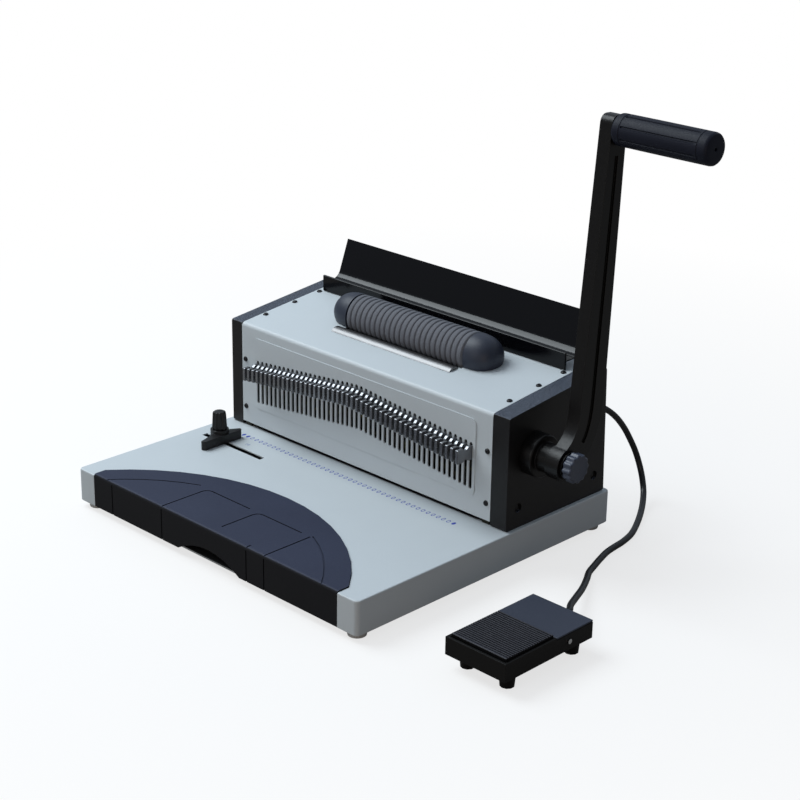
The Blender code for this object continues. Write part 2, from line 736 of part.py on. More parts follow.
def base_parts():
    """The folded base tray with its armrest, bottom plate, feet, drawer runners and chip drawer."""
    half = BASE_WIDTH / 2
    shape = bmesh.new()
    add_box(shape, (-half, -BASE_FRONT, BASE_BOTTOM), (half, BASE_BACK, BASE_TOP))
    upright = [e for e in shape.edges if abs(e.verts[0].co.z - e.verts[1].co.z) > BASE_HEIGHT / 2]
    bmesh.ops.bevel(shape, geom=upright, offset=BASE_CORNER, segments=3, profile=0.5, affect="EDGES")
    rim = [e for e in shape.edges if min(v.co.z for v in e.verts) > BASE_TOP - SHEET / 2]
    bmesh.ops.bevel(shape, geom=rim, offset=BASE_EDGE, segments=2, profile=0.5, affect="EDGES")
    base = place("base_tray", mesh_from("base_tray", shape), "pale_paint", smooth=True)
    inside = rectangle(
        (-half + SHEET, -BASE_FRONT + SHEET), (half - SHEET, BASE_BACK - SHEET), BASE_CORNER - SHEET / 2
    )
    cut(base, outline("base_inside", [inside], "XY", BASE_BOTTOM - OVERRUN, BASE_TOP - SHEET))

    rest_outline = armrest_outline(0)
    opening = armrest_outline(GAP)
    opening[0] = (opening[0][0], -BASE_FRONT - OVERRUN)
    opening[-1] = (opening[-1][0], -BASE_FRONT - OVERRUN)
    cut(base, outline("armrest_opening", [opening], "XY", BASE_BOTTOM - OVERRUN, BASE_TOP + OVERRUN))
    holes = [
        rectangle((SLOT_LEFT, SLOT_Y - STOP_SLOT_WIDTH / 2), (SLOT_RIGHT, SLOT_Y + STOP_SLOT_WIDTH / 2)),
        rectangle((-DIE_HALF - GAP, DIE_FRONT - GAP), (DIE_HALF + GAP, DIE_BACK + GAP)),
    ]
    for index, loop in enumerate(holes):
        cut(base, outline(f"base_hole_{index}", [loop], "XY", BASE_TOP - SHEET - OVERRUN, BASE_TOP + OVERRUN))
    mouth = (
        (-half - OVERRUN, DRAWER_FRONT - GAP, BASE_BOTTOM + SHEET),
        (-half + BASE_CORNER, DRAWER_BACK + GAP, BASE_BOTTOM + SHEET + GAP + DRAWER_HEIGHT + GAP),
    )
    cut(base, boxes("drawer_mouth", [mouth]))

    top = BASE_TOP + ARMREST_RISE
    rest = outline("armrest", [rest_outline], "XY", BASE_TOP - ARMREST_SLAB, top, "armrest_plastic")
    lip = [(x, max(y, -BASE_FRONT + ARMREST_WALL)) for x, y in armrest_outline(ARMREST_LIP)]
    lip_top = BASE_TOP - SHEET - GAP
    join(rest, outline("armrest_lip", [lip], "XY", lip_top - ARMREST_LIP_THICKNESS, lip_top))
    arch_radius = (ARCH_HALF**2 + ARCH_HEIGHT**2) / (2 * ARCH_HEIGHT)
    spread = math.asin(ARCH_HALF / arch_radius)
    low = BASE_BOTTOM + GAP
    arch_middle = (0, low + ARCH_HEIGHT - arch_radius)
    arch = arc(arch_middle, arch_radius, math.pi / 2 - spread, math.pi / 2 + spread, 8)
    face = [(ARMREST_HALF, low), (ARMREST_HALF, top - ARMREST_EDGE)]
    face += [(-ARMREST_HALF, top - ARMREST_EDGE), (-ARMREST_HALF, low)] + arch[::-1]
    wall = outline("armrest_face", [face], "XZ", -BASE_FRONT, -BASE_FRONT + ARMREST_WALL)
    join(rest, wall)
    shave = [(-BASE_FRONT - OVERRUN, top - ARMREST_EDGE), (-BASE_FRONT - OVERRUN, top + OVERRUN)]
    shave += [(-BASE_FRONT + ARMREST_EDGE, top + OVERRUN)]
    round_middle = (-BASE_FRONT + ARMREST_EDGE, top - ARMREST_EDGE)
    shave += arc(round_middle, ARMREST_EDGE, math.pi / 2, math.pi, 4)
    cut(rest, outline("armrest_edge", [shave], "YZ", -ARMREST_HALF - OVERRUN, ARMREST_HALF + OVERRUN))
    armrest_grooves(rest, top)

    reach = half - SHEET - GAP
    front = -BASE_FRONT + SHEET + GAP
    notch = ARMREST_HALF + GAP * 2
    behind = -BASE_FRONT + ARMREST_WALL + GAP
    back = BASE_BACK - SHEET - GAP
    trim = BASE_CORNER
    plate = [(-reach + trim, front), (-notch, front), (-notch, behind), (notch, behind), (notch, front)]
    plate += [(reach - trim, front), (reach, front + trim), (reach, back - trim), (reach - trim, back)]
    plate += [(-reach + trim, back), (-reach, back - trim), (-reach, front + trim)]
    under = outline("bottom_plate", [plate], "XY", BASE_BOTTOM, BASE_BOTTOM + SHEET, "black_powder")

    drawer_low = BASE_BOTTOM + SHEET + GAP
    left = -half
    tray = boxes(
        "chip_drawer",
        [((left, DRAWER_FRONT, drawer_low), (DRAWER_END, DRAWER_BACK, drawer_low + DRAWER_HEIGHT))],
        "black_powder",
    )
    hollow = (
        (left + DRAWER_WALL, DRAWER_FRONT + DRAWER_WALL, drawer_low + DRAWER_WALL),
        (DRAWER_END - DRAWER_WALL, DRAWER_BACK - DRAWER_WALL, drawer_low + DRAWER_HEIGHT + OVERRUN),
    )
    cut(tray, boxes("drawer_hollow", [hollow]))
    pull_middle = (DRAWER_FRONT + DRAWER_BACK) / 2
    pull_top = drawer_low + DRAWER_HEIGHT - DRAWER_WALL
    pull = (
        (left - DRAWER_PULL, pull_middle - DRAWER_PULL_HALF, pull_top - DRAWER_PULL_THICKNESS),
        (left + DRAWER_WALL / 2, pull_middle + DRAWER_PULL_HALF, pull_top),
    )
    join(tray, boxes("drawer_pull", [pull]))
    runner_top = drawer_low + DRAWER_HEIGHT / 2
    runners = []
    for edge, side in ((DRAWER_FRONT, -1), (DRAWER_BACK, 1)):
        near = edge + side * GAP
        far = near + side * RUNNER_WIDTH
        low_corner = (-reach, min(near, far), BASE_BOTTOM + SHEET / 2)
        runners.append((low_corner, (DRAWER_END, max(near, far), runner_top)))
    join(under, boxes("drawer_runners", runners))

    inset = FOOT_INSET
    for end, y in (("front", -BASE_FRONT + inset), ("rear", BASE_BACK - inset)):
        for hand, x in (("left", -half + inset), ("right", half - inset)):
            name = f"{end}_{hand}_foot"
            shape = bmesh.new()
            add_rod(
                shape, (x, y, 0), BASE_BOTTOM - GAP, FOOT_RADIUS - FOOT_TAPER, "Z", ROUND_STEPS, FOOT_RADIUS
            )
            foot = place(name, mesh_from(name, shape), "foot_rubber", smooth=True)
            well = ((x, y, -OVERRUN), OVERRUN + FOOT_HOLE_DEPTH, FOOT_HOLE_RADIUS, "Z")
            cut(foot, rods(f"{name}_well", [well], steps=SCREW_STEPS))


def armrest_radius():
    sagitta = ARMREST_DEPTH - ARMREST_SHOULDER
    return (ARMREST_HALF**2 + sagitta**2) / (2 * sagitta)


def armrest_outline(grow):
    """The armrest's outline from its front right corner, over the arc, to its front left corner."""
    radius = armrest_radius()
    middle = (0, -BASE_FRONT + ARMREST_DEPTH - radius)
    half = ARMREST_HALF + grow
    spread = math.asin(half / (radius + grow))
    points = arc(middle, radius + grow, math.pi / 2 - spread, math.pi / 2 + spread, 16)
    return [(half, -BASE_FRONT)] + points + [(-half, -BASE_FRONT)]


def groove_runs():
    """The armrest's groove lines, as paths across its top. The first and last begin at its front edge."""
    radius = armrest_radius() - GROOVE_SETBACK
    middle = Vector((0, -BASE_FRONT + ARMREST_DEPTH - armrest_radius()))
    front = -BASE_FRONT - OVERRUN
    at_front = math.acos((front - middle.y) / radius)
    far = -BASE_FRONT + GROOVE_TOP_REACH
    centre_line = far - GROOVE_CORNER / 2
    left_end = math.asin(GROOVE_LEFT_END_SHARE * ARMREST_HALF / radius)
    right_start = math.asin(GROOVE_RIGHT_START_SHARE * ARMREST_HALF / radius)
    up = math.pi / 2
    left_arc = arc(middle, radius, up + at_front, up + left_end, 5)
    right_arc = arc(middle, radius, up - right_start, up - at_front, 5)
    left_x, mid_x, right_x, short_x = (share * ARMREST_HALF for share in GROOVE_PLACE_SHARES)
    first = [(left_x, front), (left_x, centre_line), (mid_x - GROOVE_CORNER * 2, centre_line)]
    second = [(mid_x, -BASE_FRONT + GROOVE_CORNER * 2), (mid_x, centre_line)]
    second += [(right_x - GROOVE_CORNER * 2, centre_line)]
    third = [(right_x, front), (right_x, right_arc[0][1] - GROOVE_WIDTH)]
    short = [(short_x, front), (short_x, -BASE_FRONT + GROOVE_CORNER)]
    return [
        left_arc,
        softened(first, GROOVE_CORNER),
        softened(second, GROOVE_CORNER),
        third,
        right_arc,
        short,
    ], (left_arc[1][0], left_x, short_x, right_x)




def armrest_grooves(rest, top):
    """Cuts the shallow grooves across the armrest's top and down its front."""
    paths, uprights = groove_runs()
    for index, path in enumerate(paths):
        line = strip(path, GROOVE_WIDTH)
        cut(rest, outline(f"armrest_groove_{index}", [line], "XY", top - GROOVE_DEPTH, top + OVERRUN))
    lines = []
    for x in uprights:
        low = (x - GROOVE_WIDTH, -BASE_FRONT - OVERRUN, BASE_BOTTOM - OVERRUN)
        lines.append((low, (x, -BASE_FRONT + GROOVE_DEPTH, top - ARMREST_EDGE)))
    cut(rest, boxes("armrest_front_grooves", lines))


def along(axis, sign):
    """Turns Z to one way along an axis."""
    if axis == "Z":
        return Matrix.Identity(4) if sign > 0 else Matrix.Rotation(math.pi, 4, "X")
    return AXIS_TURN[axis] if sign > 0 else AXIS_TURN[axis] @ Matrix.Rotation(math.pi, 4, "X")


def screw_heads(name, places):
    """Button heads of screws, each given by its seat, axis and outward sign."""
    meshes = []
    for point, axis, sign in places:
        profile = [
            (0, SCREW_HEAD),
            (SCREW_HEAD_RADIUS, SCREW_HEAD * SCREW_CROWN_SHARE),
            (SCREW_HEAD_RADIUS, -SCREW_HEAD * SCREW_CROWN_SHARE),
            (0, -SCREW_HEAD * SCREW_CROWN_SHARE),
        ]
        mesh = turned_mesh(name, profile, SCREW_STEPS)
        meshes.append((mesh, Matrix.Translation(point) @ along(axis, sign)))
    return gathered(name, meshes)


def cover_screw_places():
    places = []
    for side in (-1, 1):
        for height in COVER_SCREW_HEIGHTS:
            places.append(((side * COVER_SCREW_X, 0, BASE_TOP + height), "Y", -1))
        for y in COVER_SCREW_DEPTHS:
            seat = roof(y)
            places.append(((side * COVER_SCREW_X, y, seat), "Z", 1))
    return places


def panel_screw_places():
    places = []
    z = BASE_TOP + PANEL_SCREW_HEIGHT
    for y in (PANEL_SCREW_Y, HOUSING_DEPTH - PANEL_SCREW_Y):
        for outer, side in ((PANEL_RIGHT_X, 1), (PANEL_LEFT_X, -1)):
            places.append(((outer - side * PANEL_RECESS_DEPTH, y, z), "X", side))
    return places


def housing_outline(inset, top_inset):
    """The side view of the housing, drawn in by a wall."""
    front = inset
    back = HOUSING_DEPTH - inset
    high = back - PANEL_LEAN
    low = BASE_TOP + GAP + inset
    points = [(back, low), (high, roof(high) - top_inset), (front, roof(front) - top_inset), (front, low)]
    ring = [points[-1]] + points + [points[0]]
    return softened(ring, PANEL_CORNER, 2)[1:-1]


def housing():
    """The front and top cover, the two side panels and the rear wall."""
    low = BASE_TOP + THROAT
    half = COVER_WIDTH / 2
    rear_low = roof(HOUSING_DEPTH) - COVER_REAR_LIP
    path = [(HOUSING_DEPTH, rear_low), (HOUSING_DEPTH, roof(HOUSING_DEPTH)), (0, roof(0)), (0, low)]
    sheet = strip(softened(path, COVER_BEND), SHEET)
    cover = outline("front_cover", [sheet], "YZ", -half, half, "pale_paint")
    emboss_low = (-EMBOSS_HALF, BASE_TOP + EMBOSS_LOW)
    raised = rectangle(emboss_low, (EMBOSS_HALF, BASE_TOP + EMBOSS_HIGH), EMBOSS_CORNER)
    join(cover, outline("emboss", [raised], "XZ", -EMBOSS_RAISE, SHEET / 2))
    cut(cover, outline("pin_slots", slot_loops(), "XZ", -EMBOSS_RAISE - OVERRUN, SHEET + OVERRUN))
    under = roof(0) - OVERRUN * 2
    over = roof(HOUSING_DEPTH) + OVERRUN
    sleeve = SLEEVE_HALF + OVERRUN / 4
    belt = BELT_X + BELT_WIDTH
    for name, wide, deep in (("roller_well", sleeve, ROLLER_OPENING), ("belt_well", belt, BELT_OPENING)):
        well = rectangle((ROLLER_X - wide, ROLLER_Y - deep), (ROLLER_X + wide, ROLLER_Y + deep))
        cut(cover, outline(name, [well], "XY", under, over))
    join(cover, screw_heads("cover_screws", cover_screw_places()))

    for name, inner, outer, side in (
        ("left_side_panel", -COVER_WIDTH / 2 - GAP, PANEL_LEFT_X, -1),
        ("right_side_panel", COVER_WIDTH / 2 + GAP, PANEL_RIGHT_X, 1),
    ):
        ends = sorted((inner, outer))
        panel = outline(name, [housing_outline(0, 0)], "YZ", ends[0], ends[1], "black_powder")
        hollow = sorted((inner - side * OVERRUN, outer - side * PANEL_WALL))
        inside = housing_outline(PANEL_WALL, PANEL_WALL)
        cut(panel, outline(f"{name}_hollow", [inside], "YZ", hollow[0], hollow[1]))
        bosses = []
        recesses = []
        boss_end = side * (FRAME_INNER + FRAME_THICKNESS + GAP)
        wall_middle = outer - side * PANEL_WALL / 2
        for (x, y, z), _axis, sign in panel_screw_places():
            if sign == side:
                boss_start = (min(boss_end, wall_middle), y, z)
                bosses.append((boss_start, abs(wall_middle - boss_end), PANEL_BOSS_RADIUS, "X"))
                start = min(x, x + side * (PANEL_RECESS_DEPTH + OVERRUN))
                recesses.append(((start, y, z), PANEL_RECESS_DEPTH + OVERRUN, PANEL_RECESS_RADIUS, "X"))
        join(panel, rods(f"{name}_bosses", bosses, steps=SMALL_STEPS))
        cut(panel, rods(f"{name}_recesses", recesses, steps=SMALL_STEPS))
        own = [screw for screw in panel_screw_places() if screw[2] == side]
        join(panel, screw_heads(f"{name}_screws", own))
        if side > 0:
            hole_start = (outer - PANEL_WALL - OVERRUN, SHAFT_Y, SHAFT_Z)
            hole = (hole_start, PANEL_WALL + 2 * OVERRUN, BUSH_RADIUS, "X")
            cut(panel, rods("panel_shaft_hole", [hole]))

    top = rear_low - GAP
    wall = [rectangle((-half, BASE_TOP + GAP), (half, top))]
    for x, height, wide, tall in (
        (INLET_X, INLET_HEIGHT, INLET_WIDTH, INLET_TALL),
        (SWITCH_X, INLET_HEIGHT, SWITCH_WIDTH, SWITCH_TALL),
    ):
        middle = BASE_TOP + height
        half_wide, half_tall = wide / 2 + GAP, tall / 2 + GAP
        wall.append(rectangle((x - half_wide, middle - half_tall), (x + half_wide, middle + half_tall)))
    wall.append(circle((GLAND_X, BASE_TOP + GLAND_HEIGHT), CORD_RADIUS + GLAND_FLANGE / 2 + GAP, SMALL_STEPS))
    for index in range(VENT_COUNT):
        x = VENT_X + (index - (VENT_COUNT - 1) / 2) * VENT_PITCH
        slot_low = BASE_TOP + VENT_HEIGHT
        wall.append(rectangle((x - VENT_WIDTH / 2, slot_low), (x + VENT_WIDTH / 2, slot_low + VENT_LENGTH)))
    outline("rear_cover", wall, "XZ", HOUSING_DEPTH - SHEET, HOUSING_DEPTH, "black_powder")

    for name, side in (("left_side_frame", -1), ("right_side_frame", 1)):
        ends = sorted((side * FRAME_INNER, side * (FRAME_INNER + FRAME_THICKNESS)))
        front = SHEET + GAP
        back = HOUSING_DEPTH - SHEET - GAP
        under_roof = ROOF_SHEET + GAP
        plate = [(front, BASE_TOP + GAP), (back, BASE_TOP + GAP)]
        near, far = front + COVER_BEND, back - COVER_BEND
        plate += [(back, roof(far) - under_roof - COVER_BEND), (far, roof(far) - under_roof)]
        plate += [(near, roof(near) - under_roof)]
        plate += [(front, roof(front) - under_roof - COVER_BEND)]
        window = rectangle(
            (WINDOW_FRONT, BASE_TOP + WINDOW_LOW), (WINDOW_BACK, BASE_TOP + WINDOW_HIGH), PANEL_CORNER * 3, 2
        )
        bearing = circle((SHAFT_Y, SHAFT_Z), BUSH_RADIUS + GAP)
        frame = outline(name, [plate, window, bearing], "YZ", ends[0], ends[1], "steel")
        groove = sorted((side * (FRAME_INNER - OVERRUN), side * (BAR_HALF + TONGUE_GAP)))
        low_corner = (groove[0], BAR_FRONT - TONGUE_GAP, BASE_TOP + BAR_BOTTOM - STROKE - TONGUE_GAP)
        high_corner = (groove[1], BAR_FRONT + BAR_THICKNESS + TONGUE_GAP, BASE_TOP + BAR_TOP + TONGUE_GAP)
        cut(frame, boxes(f"{name}_groove", [(low_corner, high_corner)]))


def slot_loops():
    """The outlines of the round ended slots, one for each punch, stepped as a low chevron."""
    loops = []
    for number in range(PIN_COUNT):
        x = pin_x(number)
        top = BASE_TOP + SLOT_TOP + chevron(number)
        radius = SLOT_WIDTH / 2
        upper = arc((x, top - radius), radius, 0, math.pi, SLOT_STEPS)
        lower = arc((x, top - SLOT_HEIGHT + radius), radius, math.pi, math.tau, SLOT_STEPS)
        loops.append(upper + lower)
    return loops


def plate_outline(number, tail):
    """The side view of one pull plate: a head, a finger notch above and below, and a body."""
    top = BASE_TOP + PLATE_TOP + chevron(number)
    low = top - PLATE_HEIGHT
    head = -PLATE_REACH + PLATE_HEAD
    neck = head + PLATE_NECK
    notch = PLATE_NOTCH
    return [
        (tail, low),
        (tail, top),
        (neck, top),
        (neck - notch, top - notch),
        (head, top),
        (-PLATE_REACH, top),
        (-PLATE_REACH, low),
        (head, low),
        (neck - notch, low + notch),
        (neck, low),
    ]


def punches():
    """The die, its back stop, the punch guide, the pressure bar, the punches and their pull plates."""
    names = {0: "pull_plate_first", 1: "pull_plate_second", PIN_COUNT - 1: "pull_plate_last"}
    rest = bmesh.new()
    pins = bmesh.new()
    shafts = []
    room = PIN_CLEARANCE
    for number in range(PIN_COUNT):
        x = pin_x(number)
        ends = (x - PLATE_THICKNESS / 2, x + PLATE_THICKNESS / 2)
        tail = PLATE_TAIL if number in names else BAR_FRONT + BAR_THICKNESS / 2
        mesh = outline_mesh("plate", [plate_outline(number, tail)], "YZ", *ends)
        if number in names:
            middle = (x, 0, BASE_TOP + PLATE_TOP + chevron(number) - PLATE_HEIGHT / 2)
            place(names[number], mesh, "chrome", middle)
        else:
            rest.from_mesh(mesh)
            bpy.data.meshes.remove(mesh)
        tip = BASE_TOP + TIP_HEIGHT + chevron(number)
        half = (PIN_WIDTH / 2, PIN_DEPTH / 2)
        low = (x - half[0], PIN_Y - half[1], tip)
        add_box(pins, low, (x + half[0], PIN_Y + half[1], BASE_TOP + BAR_BOTTOM + SHEET))
        left, right = x - half[0] - room, x + half[0] + room
        behind = PIN_Y + half[1] + room
        shafts.append(rectangle((left, PIN_Y - half[1] - room), (right, behind)))
    die = rectangle((-DIE_HALF, DIE_FRONT), (DIE_HALF, DIE_BACK))
    outline("die_plate", [die] + shafts, "XY", BASE_TOP - DIE_THICKNESS, BASE_TOP, "steel")
    reach = pin_x(PIN_COUNT - 1) + PIN_WIDTH / 2 + room
    depth = PIN_DEPTH / 2 + room
    run = rectangle((-reach, PIN_Y - depth), (reach, PIN_Y + depth))
    guide = rectangle((-GUIDE_HALF, DIE_FRONT), (GUIDE_HALF, DIE_BACK))
    block = outline("punch_guide", [guide, run], "XY", BASE_TOP + THROAT, BASE_TOP + GUIDE_TOP, "brass")
    inner = DIE_HALF + GAP
    outer = GUIDE_HALF - GAP
    front = DIE_FRONT + GAP
    back = DIE_BACK - GAP
    stop = [(-outer, front), (-inner, front), (-inner, STOP_BAR_FRONT), (inner, STOP_BAR_FRONT)]
    stop += [(inner, front), (outer, front), (outer, back), (-outer, back)]
    join(block, outline("paper_stop", [stop], "XY", BASE_TOP + GAP, BASE_TOP + THROAT + SHEET))
    bar = [rectangle((-BAR_HALF, BASE_TOP + BAR_BOTTOM), (BAR_HALF, BASE_TOP + BAR_TOP))]
    for number in names:
        x = pin_x(number)
        top = BASE_TOP + PLATE_TOP + chevron(number)
        half_width = PLATE_THICKNESS / 2 + room
        bar.append(rectangle((x - half_width, top - PLATE_HEIGHT - room), (x + half_width, top + room)))
    ram = outline("pressure_bar", bar, "XZ", BAR_FRONT, BAR_FRONT + BAR_THICKNESS, "steel")
    join(ram, place("punch_pins", mesh_from("punch_pins", pins)))
    join(ram, place("pull_plates", mesh_from("pull_plates", rest)))
    join(ram, racks())


def involute_tooth(radius):
    """Half the angle that an involute tooth fills at a radius."""
    base = PITCH_RADIUS * math.cos(PRESSURE_ANGLE)

    def involute(at):
        turn = math.acos(min(base / max(at, base), 1))
        return math.tan(turn) - turn

    half_at_pitch = math.pi / (2 * TEETH) - TOOTH_SLACK / PITCH_RADIUS
    return half_at_pitch + involute(PITCH_RADIUS) - involute(radius)


def racks():
    """The two toothed racks on the back of the pressure bar."""
    pitch = math.pi * TOOTH_MODULE
    line = SHAFT_Y - PITCH_RADIUS
    back = BAR_FRONT + BAR_THICKNESS / 2
    face = line - DEDENDUM * TOOTH_MODULE
    lean = math.tan(PRESSURE_ANGLE)
    first = SHAFT_Z - pitch
    rack = [(back, BASE_TOP + RACK_LOW), (face, BASE_TOP + RACK_LOW)]
    half = pitch / 4 - TOOTH_SLACK
    foot = half + lean * DEDENDUM * TOOTH_MODULE
    head = half - lean * TOOTH_MODULE
    for tooth in range(RACK_TEETH):
        middle = first + tooth * pitch
        tip = line + TOOTH_MODULE
        rack += [(face, middle - foot), (tip, middle - head), (tip, middle + head), (face, middle + foot)]
    top = first + (RACK_TEETH - 1 / 2) * pitch
    rack += [(face, top), (back, top)]
    pair = []
    for side in (-1, 1):
        low, high = side * RACK_CENTRE - RACK_WIDTH / 2, side * RACK_CENTRE + RACK_WIDTH / 2
        pair.append((outline_mesh("rack", [rack], "YZ", low, high), Matrix.Identity(4)))
    return gathered("drive_racks", pair)


def drive():
    """The lever shaft with its pinions, bushes and return spring."""
    root = PITCH_RADIUS - DEDENDUM * TOOTH_MODULE
    tip = PITCH_RADIUS + TOOTH_MODULE
    levels = [root + (tip - root) * share for share in TOOTH_LEVEL_SHARES]
    wheel = []
    for tooth in range(TEETH):
        middle = math.pi + math.tau * (tooth + 0.5) / TEETH
        flank = [(level, involute_tooth(level)) for level in levels]
        for level, half in flank:
            wheel.append((level, middle - half))
        for level, half in flank[::-1]:
            wheel.append((level, middle + half))
    outer = [(SHAFT_Y + r * math.cos(a), SHAFT_Z + r * math.sin(a)) for r, a in wheel]
    bore = circle((SHAFT_Y, SHAFT_Z), SHAFT_RADIUS + GAP)
    axis_point = (0, SHAFT_Y, SHAFT_Z)
    for name, side in (("left_pinion", -1), ("right_pinion", 1)):
        low, high = side * RACK_CENTRE - RACK_WIDTH / 2, side * RACK_CENTRE + RACK_WIDTH / 2
        outline(name, [outer, bore], "YZ", low, high, "steel", axis_point)

    shaft_end = ARM_OUTER - KNOB_STUD / 4
    rod = ((-SHAFT_LEFT, SHAFT_Y, SHAFT_Z), SHAFT_LEFT + shaft_end, SHAFT_RADIUS, "X")
    shaft = rods("lever_shaft", [rod], "steel", axis_point)
    tapped = ((shaft_end - KNOB_STUD, SHAFT_Y, SHAFT_Z), KNOB_STUD + OVERRUN, KNOB_STUD_RADIUS + GAP, "X")
    cut(shaft, rods("shaft_tapping", [tapped], steps=SMALL_STEPS))

    profile = [
        (BUSH_RADIUS, -FRAME_THICKNESS + GAP),
        (SHAFT_RADIUS + RUNNING_GAP, -FRAME_THICKNESS + GAP),
        (SHAFT_RADIUS + RUNNING_GAP, BUSH_FLANGE_THICKNESS + GAP),
        (BUSH_FLANGE, BUSH_FLANGE_THICKNESS + GAP),
        (BUSH_FLANGE, GAP),
        (BUSH_RADIUS, GAP),
    ]
    for name, side in (("left_shaft_bush", -1), ("right_shaft_bush", 1)):
        seat = Matrix.Translation((side * (FRAME_INNER + FRAME_THICKNESS), SHAFT_Y, SHAFT_Z))
        ring = turned_mesh(name, profile, ROUND_STEPS, True)
        ring.transform(seat @ along("X", side))
        place(name, ring, "brass", smooth=True)

    turns = []
    per_turn = 8
    for i in range(SPRING_TURNS * per_turn + 1):
        turn = math.tau * i / per_turn
        x = -SPRING_START + SPRING_PITCH * i / per_turn
        turns.append((x, SHAFT_Y + SPRING_RADIUS * math.cos(turn), SHAFT_Z + SPRING_RADIUS * math.sin(turn)))
    leg = Vector(turns[-1])
    turns.append((leg.x, leg.y, BASE_TOP + GAP))
    print("return spring, least gap between turns", round(SPRING_PITCH - 2 * SPRING_WIRE, 5))
    wire("return_spring", turns, SPRING_WIRE, "steel", 1)


def arm_half_width(share):
    """Half the arm's width at a share of the way along its curved foot."""
    return EYE_RADIUS * ARM_FOOT_EASE_SHARE * (1 - share) + ARM_NECK_HALF * share


def arm_outline():
    """The lever arm seen from the side: it leaves the eye to the back, bends up and tapers to its top."""
    eye = Vector((SHAFT_Y, SHAFT_Z))
    foot = eye + Vector((ARM_FOOT_SETBACK, ARM_FOOT_RISE))
    top = eye + Vector((ARM_SETBACK, ARM_RISE + ARM_CROWN))
    first, second = (
        eye + Vector((ARM_FOOT_SETBACK * across, ARM_FOOT_RISE * up)) for across, up in ARM_BEND_SHARES
    )
    centre = []
    for i in range(9):
        t = i / 8
        s = 1 - t
        centre.append((s**3 * eye + 3 * s * s * t * first + 3 * s * t * t * second + t**3 * foot, t))
    near, far = [], []
    for i, (point, share) in enumerate(centre):
        ahead = centre[min(i + 1, 8)][0] - centre[max(i - 1, 0)][0]
        normal = Vector((-ahead.y, ahead.x)).normalized()
        width = arm_half_width(share) + (ARM_FOOT_HALF - ARM_NECK_HALF) * share**3
        near.append(point + normal * width)
        far.append(point - normal * width)
    lean = (top - foot).normalized()
    side = Vector((-lean.y, lean.x))
    crown = [top + side * ARM_TOP_HALF, top - side * ARM_TOP_HALF]
    ends = [tuple(near[-1]), tuple(crown[0]), tuple(crown[1]), tuple(far[-1])]
    head = softened(ends, ARM_CORNER, 4)
    return [tuple(p) for p in near[:-1]] + head + [tuple(p) for p in far[:-1]][::-1], centre, (foot, top)


